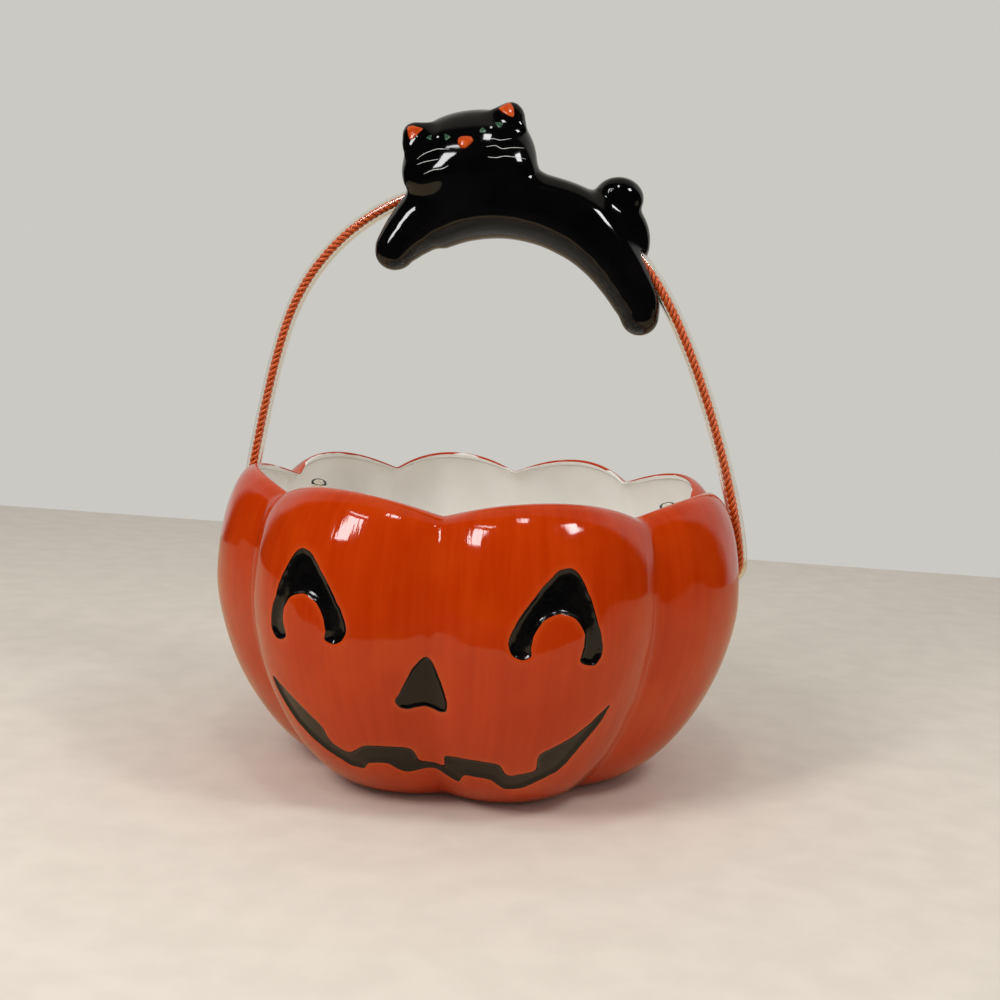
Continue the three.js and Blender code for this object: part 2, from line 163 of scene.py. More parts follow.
# %% [markdown]
# The stage starts with a plain pale floor. A shiny pot shows its whole room, and this one stood on
# a pale sheet in front of a pale wall, with the dark room behind the camera. So the floor has a
# front edge that only reflections see: beyond it they find the dark room, painted there as a
# near-black reflection. Reflections also see the sheet warmer than the camera does, a painted
# reflection of the orange light that the bowl throws on it.

# %% Floor
sheet_reach, sheet_front, sheet_rear = 3.0, -0.232, 0.563
sheet_fade = 0.02
floor_drop = 0.0002

floor_mesh = bpy.data.meshes.new("floor")
corners = [(-sheet_reach, -sheet_reach), (sheet_reach, -sheet_reach),
           (sheet_reach, sheet_rear), (-sheet_reach, sheet_rear)]
floor_mesh.from_pydata([(x, y, 0) for x, y in corners], [], [(0, 1, 2, 3)])
floor = bpy.data.objects.new("floor", floor_mesh)
floor.location.z = -floor_drop
bpy.context.scene.collection.objects.link(floor)

floor_finish, n = new_material("pale_floor")
path = n.add("ShaderNodeLightPath").outputs
across_floor = n.add("ShaderNodeSeparateXYZ", None, Vector=n.place()).outputs
before_sheet = n.spread(across_floor["Y"], sheet_front - sheet_fade, sheet_front, 1.0, 0.0)
# Painted reflection: beyond the front edge, reflections see a near-black floor in place of the dark
# room.
painted_dark_room_mask = n.math("MULTIPLY", before_sheet, path["Is Glossy Ray"])
mottle = n.noise(n.place(), 60.0, 4.0)
pale = n.mix(n.spread(mottle, 0.3, 0.7), colour(229, 219, 204), colour(235, 225, 210))
# Painted reflection: reflections see the floor warmer, which stands in for the bowl's orange light
# on it.
painted_warm_reflection = n.mix(path["Is Glossy Ray"], pale, colour(220, 197, 158))
cover = n.mix(painted_dark_room_mask, painted_warm_reflection, colour(38, 36, 34))
n.finish(n.add("ShaderNodeBsdfPrincipled", None, Base_Color=cover, Roughness=0.75).outputs[0])
floor.data.materials.append(floor_finish)
print("floor depth in m:", sheet_reach + sheet_rear)

# %% [markdown]
# The world gives reflections the pale wall behind and above the bowl, and a dark side towards the
# front. What the camera and the clear tube see of it is the plain wall colour. What lights the
# object is an even grey of about half strength, and the lamps add the rest.

# %% World
wall_colour = colour(202, 201, 195)

world = bpy.data.worlds.new("room")
bpy.context.scene.world = world
world.use_nodes = True
n = Nodes(world.node_tree)
path = n.add("ShaderNodeLightPath").outputs
view_way = n.add("ShaderNodeTexCoord").outputs["Generated"]
way = n.add("ShaderNodeSeparateXYZ", None, Vector=view_way).outputs
rearward = n.math("ADD", n.math("MULTIPLY", way["Y"], 0.8), n.math("MULTIPLY", way["Z"], 0.6))
high = n.spread(way["Z"], 0.55, 0.9)
pale_side = n.mix(high, wall_colour, colour(138, 131, 122))
reflected = n.mix(n.spread(rearward, 0.47, 0.6), colour(28, 26, 25), pale_side)
ambient = (0.47, 0.47, 0.47, 1)
seen = n.mix(path["Is Glossy Ray"], ambient, reflected)
through = n.math("MAXIMUM", path["Is Camera Ray"], path["Is Transmission Ray"])
seen = n.mix(through, seen, wall_colour)
background = n.add("ShaderNodeBackground", None, Color=seen, Strength=1.0)
n.add("ShaderNodeOutputWorld", None, Surface=background.outputs[0])
print("strength of the plain light:", ambient[0])

# %% [markdown]
# On a glaze as shiny as this a lamp is mostly seen as its own reflection. So four soft lamps stand
# where the highlights ask for them: two at the front left, one at the front right and a small one
# above. Their widths, heights and watts were found by trial beside those highlights.

# %% Lamps
lamp_target = Vector((0, 0, 0.1))
lamp_distance = 0.95


def add_lamp(name, azimuth, elevation, width, height, watts):
    """A soft lamp that looks at the bowl. Azimuth 0 is in front, and + is on the viewer's right."""
    lamp = bpy.data.lights.new(name, "AREA")
    lamp.shape = "RECTANGLE"
    lamp.size, lamp.size_y, lamp.energy = width, height, watts
    turn, rise = math.radians(azimuth), math.radians(elevation)
    outward = Vector((
        math.sin(turn) * math.cos(rise), -math.cos(turn) * math.cos(rise), math.sin(rise)))
    holder = bpy.data.objects.new(name, lamp)
    holder.location = lamp_target + outward * lamp_distance
    holder.rotation_euler = outward.to_track_quat("Z", "Y").to_euler()
    bpy.context.scene.collection.objects.link(holder)


add_lamp("window_left", -33, 38, 0.17, 0.34, 3.4)
add_lamp("window_left_bar", -34, 54, 0.20, 0.035, 0.35)
add_lamp("window_right", 62, 48, 0.16, 0.18, 1.9)
add_lamp("ceiling_lamp", 4, 68, 0.09, 0.13, 0.7)
bpy.context.scene.view_settings.view_transform = "Standard"
print("lamps:", len(bpy.data.lights))

# %% [markdown]
# The bowl is a ring of eight lobes. On the real one the clay takes its shape from a plaster
# mould, and the creases between the lobes are soft valleys. A formula gives every point of the
# wall: how far round it is, and how far along from the foot over the belly to the rim. A formula
# is better here than a sculpted ball, because the carved face and the holes can be laid on it.

# %% The wall's shape
belly_radius, belly_height = 102.0, 70.5
rim_radius, rim_start = 92.5, 110.15
rim_lean = math.radians(71)
wall_curve = 2 / 1.65
outer_shell = (55.6, 102.0, 0.0)
inner_shell = (54.0, 97.5, 6.0)
lobe_edges = np.radians(np.cumsum([0, 49.5, 52.2, 40.7, 37.6]))
crease_round, crease_power = 0.012, 1.15
foot_crease, crease_gain, crease_loss = 4.7, 2.0, 1.3
front_swell, swell_at_foot, swell_at_rim = 4.8, 0.7, 0.25
rim_dip = 5.9


def crease_share(angle):
    """How close a place is to a crease, 1 in it and 0 in the middle of a lobe, and whether the
    lobe is the front one"""
    turn = np.abs(angle)
    lobe = np.clip(np.searchsorted(lobe_edges, turn, side="right") - 1, 0, 3)
    width = lobe_edges[lobe + 1] - lobe_edges[lobe]
    from_crease = 1 - np.abs(2 * (turn - lobe_edges[lobe]) / width - 1)
    eased = np.sqrt(from_crease**2 + crease_round**2) - crease_round
    eased /= math.sqrt(1 + crease_round**2) - crease_round
    return 1 - (eased * (2 - eased)) ** crease_power, lobe == 0


def wall_place(shell, along, angle):
    """Points of the wall. Along is 0 at the foot, 1 at the belly and 2 at the rim."""
    foot, belly, base = shell
    turn = np.clip(along, 0, 1) * math.pi / 2
    lean = np.clip(along - 1, 0, 1) * rim_lean
    lower = along <= 1
    radius = foot + (belly - foot) * np.sin(turn) ** wall_curve
    height = base + (belly_height - base) * (1 - np.maximum(np.cos(turn), 0) ** wall_curve)
    drawn_in = (1 - np.cos(lean)) / (1 - math.cos(rim_lean))
    radius = np.where(lower, radius, belly - (belly_radius - rim_radius) * drawn_in)
    raised = belly_height + (rim_start - belly_height) * np.sin(lean) / math.sin(rim_lean)
    height = np.where(lower, height, raised)
    above = np.clip(along - 1, 0, 1) ** 2
    crease_depth = np.where(lower, foot_crease + crease_gain * np.sin(turn),
                            foot_crease + crease_gain - crease_loss * above)
    crease, in_front = crease_share(angle)
    swell_end = np.where(along < 1, swell_at_foot, swell_at_rim)
    swell = swell_end + (1 - swell_end) * np.sin(along * math.pi / 2)
    swell = np.where(in_front, front_swell * swell * (1 - crease), 0)
    radius = radius - crease_depth * crease + swell
    height = height - rim_dip * above * crease
    return np.stack([radius * np.sin(angle), -radius * np.cos(angle), height], axis=-1)


def wall_normal(shell, along, angle):
    """Directions straight out of the wall"""
    step = 1e-3
    round_way = wall_place(shell, along, angle + step) - wall_place(shell, along, angle - step)
    low, high = np.clip(along - step, 0, 2), np.clip(along + step, 0, 2)
    up_way = wall_place(shell, high, angle) - wall_place(shell, low, angle)
    normal = np.cross(round_way, up_way)
    return normal / np.linalg.norm(normal, axis=-1, keepdims=True)


search_passes, longest_move = 14, 0.2


def find_on_wall(shell, target, axes, angle, along):
    """Moves a first guess until two coordinates of the wall's point match the target's"""
    angle, along = angle.copy(), along.copy()
    step = 1e-4
    for _ in range(search_passes):
        miss = (wall_place(shell, along, angle) - target)[:, axes]
        by_angle = (wall_place(shell, along, angle + step) - target)[:, axes] - miss
        by_along = (wall_place(shell, along + step, angle) - target)[:, axes] - miss
        grid = np.stack([by_angle, by_along], axis=-1) / step
        move = np.linalg.solve(grid, miss[..., None])[..., 0]
        move = np.clip(move, -longest_move, longest_move)
        angle -= move[:, 0]
        along = np.clip(along - move[:, 1], 0.03, 1.97)
    return angle, along


print("belly width across a side lobe, mm:",
      round(float(2 * wall_place(outer_shell, np.array([1.0]), np.array([1.3]))[0, 0]), 1))

# %% [markdown]
# The face was pressed into the clay and filled with black glaze. Its outlines are closed loops
# seen from straight in front, with X across and Z up. Few points are enough, because a curve is
# drawn through them. A small unevenness is added, as a brush leaves it at the edge of the paint.

# %% Outlines of the face
eye_outline = [
    (44.6, 93), (47.6, 91), (51.8, 83.6), (55.2, 73.4), (56.4, 67.6), (56.2, 64), (54.2, 61),
    (51.4, 61.2), (49.6, 62.9), (50.8, 68.1), (50.4, 72.6), (47.8, 76.6), (42.8, 78.5), (38, 76.3),
    (35, 71.4), (34.2, 67.2), (34.4, 64.2), (31.4, 62.8), (28.2, 64.4), (26.8, 68.4), (28.4, 73.4),
    (33.6, 82.2), (40.4, 91.2),
]
nose_outline = [
    (-1.4, 60), (-5.6, 55.6), (-9.4, 47.6), (-11.2, 43.9), (-9.6, 41.3), (-6.4, 40.9), (-2, 42),
    (2.8, 40.4), (5.4, 41), (6.1, 44.2), (4.5, 49.8), (1.4, 57.4),
]
mouth_outline = [
    (-58.2, 45), (-56, 38.9), (-48.9, 29.3), (-40.8, 22.2), (-30.1, 15.6), (-24.9, 14.8),
    (-22.1, 17.8), (-15.7, 18.1), (-10.1, 14.6), (-1.2, 16.2), (7.8, 11.9), (10.8, 15.7),
    (19.7, 15.2), (24.6, 11.2), (30.5, 12), (38.1, 16.6), (43.9, 20.8), (49.8, 29.2), (56.1, 38.3),
    (59.2, 45), (53.1, 38.8), (46.8, 33.4), (37.2, 27.4), (35.2, 20.4), (27.4, 18), (25.2, 19),
    (22.1, 23), (5, 22.9), (3, 18.4), (-4.8, 19.9), (-7.9, 25.2), (-22, 25.5), (-28, 21.9),
    (-31, 22), (-35.4, 25), (-38.7, 31.4), (-49.2, 39.7),
]


def curve_through(rows, steps, closed=False, pull=0.5):
    """A smooth curve through rows of numbers"""
    rows = np.asarray(rows, float)
    if closed:
        padded = np.vstack([rows[-1:], rows, rows[:2]])
    else:
        padded = np.vstack([2 * rows[0] - rows[1], rows, 2 * rows[-1] - rows[-2]])
    share = (np.arange(steps) / steps)[:, None]
    made = []
    for before, start, end, after in zip(padded, padded[1:], padded[2:], padded[3:]):
        leave, arrive = pull * (end - before), pull * (after - start)
        square, cube = share**2, share**3
        made.append((2 * cube - 3 * square + 1) * start + (cube - 2 * square + share) * leave
                    + (3 * square - 2 * cube) * end + (cube - square) * arrive)
    return np.vstack(made if closed else [*made, rows[-1:]])


def evenly_spaced(loop, spacing):
    """The same closed loop with its points a set distance apart"""
    ring = np.vstack([loop, loop[:1]])
    walked = np.concatenate([[0], np.cumsum(np.linalg.norm(np.diff(ring, axis=0), axis=1))])
    count = int(round(walked[-1] / spacing))
    stops = np.arange(count) * walked[-1] / count
    return np.stack([np.interp(stops, walked, column) for column in ring.T], axis=1)


outline_spacing, wobble_depth = 0.55, 0.22


def painted_loop(outline, seed):
    """The outline as a curve with the small unevenness of a painted edge"""
    loop = evenly_spaced(curve_through(outline, 10, closed=True, pull=0.36), outline_spacing)
    heading = np.roll(loop, -1, axis=0) - np.roll(loop, 1, axis=0)
    heading /= np.linalg.norm(heading, axis=1, keepdims=True)
    sideways = np.stack([-heading[:, 1], heading[:, 0]], axis=1)
    wobble = [noise.noise(Vector((x * 0.35, seed * 7.3, z * 0.35))) for x, z in loop]
    return loop + sideways * np.array(wobble)[:, None] * wobble_depth


face = {
    "left_eye_glaze": painted_loop([(-x, z) for x, z in reversed(eye_outline)], 1),
    "right_eye_glaze": painted_loop(eye_outline, 2),
    "nose_glaze": painted_loop(nose_outline, 3),
    "mouth_glaze": painted_loop(mouth_outline, 4),
}
print("points on each outline:", {name: len(loop) for name, loop in face.items()})

# %% [markdown]
# The wall has to be fine where the face is carved and can be coarse elsewhere. So it is laid out
# flat first, as a map with the way round across and the way up along the profile. Loops are drawn
# on the map for each carved edge and each hole, with rows of points beside them for the rounded
# lips. Blender's Delaunay triangulation then joins all the points and keeps the loops as edges.

# %% The wall as a flat map
map_radius = 95.0
lower_length, upper_length = 85.0, 45.0


def to_map(angle, along):
    up = np.where(along <= 1, lower_length * along, lower_length + upper_length * (along - 1))
    return np.stack([map_radius * angle, up], axis=-1)


def from_map(spot):
    up = spot[:, 1]
    along = np.where(up <= lower_length, up / lower_length, 1 + (up - lower_length) / upper_length)
    return spot[:, 0] / map_radius, along


def inside_loop(spots, loop):
    """True for each spot that a closed loop goes round"""
    inside = np.zeros(len(spots), bool)
    for (x0, y0), (x1, y1) in zip(loop, np.roll(loop, -1, axis=0)):
        if y0 != y1:
            crossing = (y0 > spots[:, 1]) != (y1 > spots[:, 1])
            inside ^= crossing & (spots[:, 0] < x0 + (spots[:, 1] - y0) * (x1 - x0) / (y1 - y0))
    return inside


near_reach, batch_size = 6, 2000


def nearest(points, loop):
    """The distance from each point to the nearest point of a loop, or infinity if it is far off"""
    closest = np.full(len(points), np.inf)
    low, high = loop.min(axis=0) - near_reach, loop.max(axis=0) + near_reach
    near = np.flatnonzero((points > low).all(axis=1) & (points < high).all(axis=1))
    for part in np.array_split(near, max(1, len(near) // batch_size)):
        gaps = np.linalg.norm(points[part, None] - loop[None], axis=2)
        closest[part] = gaps.min(axis=1)
    return closest


class WallMap:
    """Gathers spots and loops on the flat map, then joins them to triangles"""

    def __init__(self, shell, spacing):
        self.shell = shell
        self.columns = int(round(2 * math.pi * map_radius / spacing))
        self.rows = int(round((lower_length + upper_length) / spacing))
        self.loops = {}
        self.extra = []

    def add_loop(self, name, angle, along, offsets):
        """A loop and rows beside it. Positive offsets are on the loop's left side."""
        place = wall_place(self.shell, along, angle)
        normal = wall_normal(self.shell, along, angle)
        heading = np.roll(place, -1, axis=0) - np.roll(place, 1, axis=0)
        heading /= np.linalg.norm(heading, axis=1, keepdims=True)
        left = np.cross(normal, heading)
        self.loops[name] = {"spots": to_map(angle, along), "place": place}
        on_side = abs(np.sin(angle)).mean() > 0.9
        axes = [1, 2] if on_side else [0, 2]
        for offset in offsets:
            target = place + left * offset
            beside = find_on_wall(self.shell, target, axes, angle, along)
            found = wall_place(self.shell, beside[1], beside[0])
            # Points that would crowd the loop in a tight bend are left out
            clear = nearest(found, place) > abs(offset) * 0.93
            clear &= np.linalg.norm(found - target, axis=1) < 0.5
            self.extra.append(to_map(*beside)[clear])

    def triangulate(self, keep_off):
        """Fills the map with a grid that keeps off the loops, and joins everything"""
        angles = np.linspace(-math.pi, math.pi, self.columns + 1)
        ups = np.linspace(0, lower_length + upper_length, self.rows + 1)
        grid = np.stack(np.meshgrid(angles * map_radius, ups), axis=-1)
        edge = np.zeros(grid.shape[:2], bool)
        edge[[0, -1], :] = True
        edge[:, [0, -1]] = True
        fixed, free = grid[edge], grid[~edge]
        near = np.zeros(len(free), bool)
        for loop in self.loops.values():
            near |= nearest(free, loop["spots"]) < keep_off
        loops = [loop["spots"] for loop in self.loops.values()]
        spots = np.vstack([fixed, free[~near], *loops, *self.extra])
        ties = []
        start = first_on_loops = len(fixed) + int((~near).sum())
        for loop in loops:
            ties += [(start + i, start + (i + 1) % len(loop)) for i in range(len(loop))]
            start += len(loop)
        out = delaunay_2d_cdt([Vector(s) for s in spots], ties, [], 0, 1e-6, True)
        self.spots = np.array([s[:] for s in out[0]])
        self.faces = np.array(out[2])
        self.angle, self.along = from_map(self.spots)
        self.place = wall_place(self.shell, self.along, self.angle)
        self.normal = wall_normal(self.shell, self.along, self.angle)
        self.middles = self.spots[self.faces].mean(axis=1)
        renamed = {old: new for new, olds in enumerate(out[3]) for old in olds}
        start = first_on_loops
        for loop in self.loops.values():
            loop["at"] = [renamed[start + i] for i in range(len(loop["spots"]))]
            start += len(loop["spots"])

    def edge_row(self, up):
        """The points of the bottom or top row, in order round the wall"""
        row = np.flatnonzero(np.abs(self.spots[:, 1] - up) < 1e-4)
        return row[np.argsort(self.spots[row, 0])]

    def inside(self, name):
        return inside_loop(self.middles, self.loops[name]["spots"])


# %% [markdown]
# The handle tube passes through a hole in each side wall. A hole is a circle seen from the side,
# so its loop is found the same way as the face, with the two other coordinates. The clay's edge
# is rounded there, and the glaze runs over it.

# %% Lay out both faces of the wall
hinge_height, hinge_setback = 76.0, 8.5
hole_radius, hole_height = 5.6, 78.3
hole_points = 48
holes = ("hole_left", "hole_right")


def add_hole(wall, side, offsets):
    """The loop of one side's hole, from a first guess that the search mends"""
    turn = np.linspace(0, 2 * math.pi, hole_points, endpoint=False) * side
    target = np.zeros((hole_points, 3))
    target[:, 1] = hinge_setback + hole_radius * np.cos(turn)
    target[:, 2] = hole_height + hole_radius * np.sin(turn)
    angle, along = np.full(hole_points, side * 1.65), np.full(hole_points, 1.2)
    angle, along = find_on_wall(wall.shell, target, [1, 2], angle, along)
    wall.add_loop(holes[side > 0], angle, along, offsets)


outer = WallMap(outer_shell, 1.9)
for name, loop in face.items():
    target = np.stack([loop[:, 0], np.zeros(len(loop)), loop[:, 1]], axis=1)
    guess = np.arcsin(np.clip(loop[:, 0] / 101, -0.9, 0.9))
    angle, along = find_on_wall(outer_shell, target, [0, 2], guess, 0.2 + loop[:, 1] / 80)
    outer.add_loop(name, angle, along, [-2.0, -1.2, -0.7, -0.3, 0.3, 0.65, 1.05, 1.5, 2.1, 2.8])
for side in (-1, 1):
    add_hole(outer, side, [-3, -2, -1.2, -0.8, -0.4, -0.15])
outer.triangulate(2.2)

inner = WallMap(inner_shell, 3.2)
for side in (-1, 1):
    add_hole(inner, side, [-3, -1.8, -0.8])
inner.triangulate(2.5)
print("triangles outside and inside:", len(outer.faces), len(inner.faces))

# %% [markdown]
# Next the flat lay-out gets its relief. Close to a carved edge the wall dips a little, then falls
# into the hollow along a sloping side. A cast wall is never quite even, so a slow, shallow noise
# moves it in and out by a few tenths of a millimetre. That is what breaks up the reflections.

# %% Relief of the carved face
carve_depth = {"left_eye_glaze": 1.7, "right_eye_glaze": 1.7, "nose_glaze": 1.2, "mouth_glaze": 1.2}
slope_width = 2.3
lip_round, lip_width = 0.14, 1.4
hole_lip = 1.2
thin_by_carving, thin_by_hole = 1.3, 1.5


def slow_wave(points, size, seed):
    """Noise between about -1 and 1, in waves of a set size in mm"""
    return np.array([noise.noise(Vector(p) / size + Vector((seed, 0, 0))) for p in points])


def uneven(points):
    """How far the cast wall stands in or out of its true shape, in mm. The foot stays true, and
    the sides stand in, so that the handle swings past them."""
    wave = 0.3 * slow_wave(points, 42, 11) + 0.07 * slow_wave(points, 13, 5)
    beside_handle = np.clip((np.abs(points[:, 0]) - 84) / 8, 0, 1)
    furthest_out = 0.4 - 0.5 * beside_handle
    above_foot = np.clip(points[:, 2] / 6, 0, 1)
    return np.minimum(wave, furthest_out) * above_foot


carved = np.zeros(len(outer.place))
thin = np.zeros(len(outer.place))
for name, depth in carve_depth.items():
    distance = nearest(outer.place, outer.loops[name]["place"])
    inside = inside_loop(outer.spots, outer.loops[name]["spots"])
    inside[outer.loops[name]["at"]] = False
    into = np.clip(distance / slope_width, 0, 1)
    hollow = lip_round + (depth - lip_round) * (1 - (1 - into) ** 2.2)
    lip = lip_round * np.clip(1 - distance / lip_width, 0, 1) ** 2
    carved = np.where(inside, hollow, np.maximum(carved, lip))
    thin = np.maximum(thin, np.exp(-((distance / thin_by_carving) ** 2)))
for name in holes:
    distance = nearest(outer.place, outer.loops[name]["place"])
    bend = np.clip(hole_lip - distance, 0, hole_lip)
    carved = np.maximum(carved, hole_lip - np.sqrt(hole_lip * hole_lip - bend * bend))
    thin = np.maximum(thin, np.exp(-((distance / thin_by_hole) ** 2)))
outer_place = outer.place + outer.normal * (uneven(outer.place) - carved)[:, None]
inner_place = inner.place + inner.normal * uneven(inner.place)[:, None]
print("deepest carving, mm:", round(float(carved.max()), 2))

# %% [markdown]
# Now the bowl is put together: the outer wall, the rounded rim, the inner wall, the floor, the
# foot and the sides of the two holes. The rim leaves the outer wall in the wall's own direction
# and comes down on the inner one the same way, so no ridge shows. Two things are kept for the
# glaze at every point: its way round and along the profile, and how thin the glaze lies.

# %% The bowl as one mesh
def put(name, points, faces):
    """A mesh object from points in millimetres"""
    mesh = bpy.data.meshes.new(name)
    mesh.from_pydata((np.asarray(points) * MM).tolist(), [], [tuple(map(int, f)) for f in faces])
    piece = bpy.data.objects.new(name, mesh)
    bpy.context.scene.collection.objects.link(piece)
    return piece


def keep_values(piece, name, values):
    """Stores one number, or one direction, with every point of the mesh"""
    values = np.asarray(values, np.float32)
    kind, field = ("FLOAT", "value") if values.ndim == 1 else ("FLOAT_VECTOR", "vector")
    layer = piece.data.attributes.new(name, kind, "POINT")
    layer.data.foreach_set(field, values.ravel())


def strip(first, second):
    """Four-sided faces between two rows of points with the same count"""
    return [(a, b, d, c) for a, b, c, d in zip(first, first[1:], second, second[1:])]


def closed_strip(first, second):
    """The same between two closed rings of points"""
    return strip([*first, first[0]], [*second, second[0]])


class Stack:
    """Collects points, faces and glaze values from several sheets of mesh"""

    def __init__(self):
        self.points, self.faces, self.way, self.thin = [], [], [], []
        self.count = 0

    def add(self, points, angle, profile, thin):
        """Takes in points and gives back their numbers"""
        ring = np.stack([map_radius * np.sin(angle), -map_radius * np.cos(angle), profile], axis=1)
        self.points.append(points)
        self.way.append(ring)
        self.thin.append(np.broadcast_to(thin, (len(points),)))
        self.count += len(points)
        return np.arange(self.count - len(points), self.count)


bowl = Stack()
hole_faces = np.zeros(len(outer.faces), bool)
inner_hole_faces = np.zeros(len(inner.faces), bool)
for name in holes:
    hole_faces |= outer.inside(name)
    inner_hole_faces |= inner.inside(name)

full_length = lower_length + upper_length
rim_length, rim_pull = 8.0, 4.0
rim_steps = 12
at_outer = bowl.add(outer_place, outer.angle, outer.spots[:, 1], thin)
inner_profile = full_length + rim_length + (full_length - inner.spots[:, 1])
at_inner = bowl.add(inner_place, inner.angle, inner_profile, 0)
bowl.faces += [tuple(at_outer[f]) for f in outer.faces[~hole_faces]]
bowl.faces += [tuple(at_inner[f]) for f in inner.faces[~inner_hole_faces]]

outer_row = outer.edge_row(full_length)
rim_angle = outer.angle[outer_row]
at_rim, below_rim = np.full(len(rim_angle), 2.0), np.full(len(rim_angle), 1.97)
inner_top = wall_place(inner_shell, at_rim, rim_angle)
inner_top += wall_normal(inner_shell, at_rim, rim_angle) * uneven(inner_top)[:, None]
outer_top = outer_place[outer_row]
pull_up = wall_place(outer_shell, at_rim, rim_angle) - wall_place(outer_shell, below_rim, rim_angle)
pull_up *= rim_pull / np.linalg.norm(pull_up, axis=1, keepdims=True)
previous = at_outer[outer_row]
for step in range(1, rim_steps + 1):
    t = step / rim_steps
    row = ((1 - t) ** 3 * outer_top + 3 * (1 - t) ** 2 * t * (outer_top + pull_up)
           + 3 * (1 - t) * t**2 * (inner_top + pull_up) + t**3 * inner_top)
    crest = math.exp(-(((t - 0.45) / 0.25) ** 2))
    current = bowl.add(row, rim_angle, np.full(len(row), full_length + rim_length * t), crest)
    bowl.faces += strip(previous, current)
    previous = current
rim_inside = previous
print("points of the bowl so far:", bowl.count)

# %% [markdown]
# The inner wall's map has fewer columns than the rim, so the two rows are sewn together by
# walking along both at once. The foot is a flat ring with a slightly hollow middle, as a cast
# piece has where it was wiped and fired on its stand.

# %% Sew the rows and close the bowl
def sew(first, first_angle, second, second_angle):
    """Triangles between two rows with different counts, both in order of angle"""
    faces, i, j = [], 0, 0
    while i + 1 < len(first) or j + 1 < len(second):
        step_first = j + 1 >= len(second) or (
            i + 1 < len(first) and first_angle[i + 1] <= second_angle[j + 1])
        if step_first:
            faces.append((first[i], first[i + 1], second[j]))
            i += 1
        else:
            faces.append((first[i], second[j + 1], second[j]))
            j += 1
    return faces


inner_row = inner.edge_row(full_length)
bowl.faces += sew(rim_inside, rim_angle, at_inner[inner_row], inner.angle[inner_row])


def close_disc(row, start_place, angle, rings, profile, profile_step):
    """Rings that shrink towards the middle, and a fan of faces to close them"""
    for share, height in rings:
        place = start_place * (share, share, 0) + (0, 0, height)
        profile += profile_step
        following = bowl.add(place, angle, np.full(len(place), profile), 0)
        bowl.faces += strip(row, following)
        row = following
    centre = np.array([[0, 0, height]])
    middle = bowl.add(centre, np.zeros(1), np.array([profile + profile_step]), 0)
    bowl.faces += [(a, b, middle[0]) for a, b in zip(row, row[1:])]


foot_row = outer.edge_row(0)
foot_rings = [(0.985, 0.0), (0.94, 0.0), (0.925, 0.25), (0.905, 0.9), (0.87, 1.3), (0.6, 1.4),
              (0.3, 1.4)]
close_disc(at_outer[foot_row], outer_place[foot_row], outer.angle[foot_row], foot_rings, 0, -4)
floor_row = inner.edge_row(0)
floor_rings = [(0.93, 5.85), (0.75, 5.8), (0.5, 5.8), (0.25, 5.8)]
close_disc(at_inner[floor_row], inner_place[floor_row], inner.angle[floor_row], floor_rings,
           300, 10)

for name in holes:
    bowl.faces += closed_strip(at_outer[outer.loops[name]["at"]], at_inner[inner.loops[name]["at"]])

pumpkin_bowl = put("pumpkin_bowl", np.vstack(bowl.points), bowl.faces)
keep_values(pumpkin_bowl, "glaze_way", np.vstack(bowl.way))
keep_values(pumpkin_bowl, "glaze_thin", np.concatenate(bowl.thin))


weld_reach = 0.002


def weld(piece):
    """Joins points that lie on each other, turns all faces outwards and counts open edges"""
    work = bmesh.new()
    work.from_mesh(piece.data)
    bmesh.ops.remove_doubles(work, verts=work.verts, dist=weld_reach * MM)
    bmesh.ops.recalc_face_normals(work, faces=work.faces)
    open_edges = sum(1 for edge in work.edges if not edge.is_manifold)
    work.to_mesh(piece.data)
    work.free()
    piece.data.shade_smooth()
    return open_edges


print("bowl:", len(bowl.faces), "faces, open edges:", weld(pumpkin_bowl))
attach(pumpkin_bowl, "bowl")
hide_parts("bowl")

# %% [markdown]
# The orange glaze was brushed on, so it is streaky along the profile, and paler where it runs
# thin over a lip or the rim. It stops just past the top of the rim, along a line that wavers a
# little, where the white glaze of the inside begins. The underside of the foot is white too. All
# of it is one material: the point's way along the profile says which glaze it has.

# %% Orange and white glaze
glaze, n = new_material("brushed_orange_glaze")
way = n.attribute("glaze_way")["Vector"]
thinness = n.attribute("glaze_thin")["Fac"]
profile = n.add("ShaderNodeSeparateXYZ", None, Vector=way).outputs["Z"]
streaks = n.noise(n.stretched(way, (0.30, 0.30, 0.022)), 1.0, 5.0, 0.62)
fine_streaks = n.noise(n.stretched(way, (1.6, 1.6, 0.06)), 1.0, 3.0, 0.6)
clouds = n.noise(n.stretched(way, (0.045, 0.045, 0.05)), 1.0, 3.0)
body = n.mix(n.spread(streaks, 0.3, 0.7), colour(180, 48, 0), colour(189, 54, 2))
body = n.mix(n.spread(fine_streaks, 0.4, 0.8, 0.0, 0.2), body, colour(170, 42, 0))
body = n.mix(n.spread(clouds, 0.45, 0.75, 0.0, 0.35), body, colour(200, 68, 8))
body = n.mix(n.math("MULTIPLY", thinness, 0.24), body, colour(216, 96, 44))
edge_wave = n.noise(n.stretched(way, (0.045, 0.045, 0.0)), 1.0, 2.0, 0.5)
edge_place = n.spread(edge_wave, 0.3, 0.5, full_length + 3.7, full_length + 6.5)
over_edge = n.math("SUBTRACT", profile, edge_place)
white_share = n.spread(over_edge, -0.15, 0.25)
foot_share = n.spread(profile, 0.6, 1.6, 1.0, 0.0)
white_share = n.math("MAXIMUM", white_share, foot_share)
mottled = n.noise(n.stretched(way, (0.05, 0.05, 0.05)), 1.0, 4.0)
white = n.mix(n.spread(mottled, 0.3, 0.7), colour(243, 238, 229), colour(247, 243, 236))
glaze_colour = n.mix(white_share, body, white)
ripple = n.noise(n.place(), 55.0, 1.0)
skin = n.noise(n.place(), 420.0, 2.0)
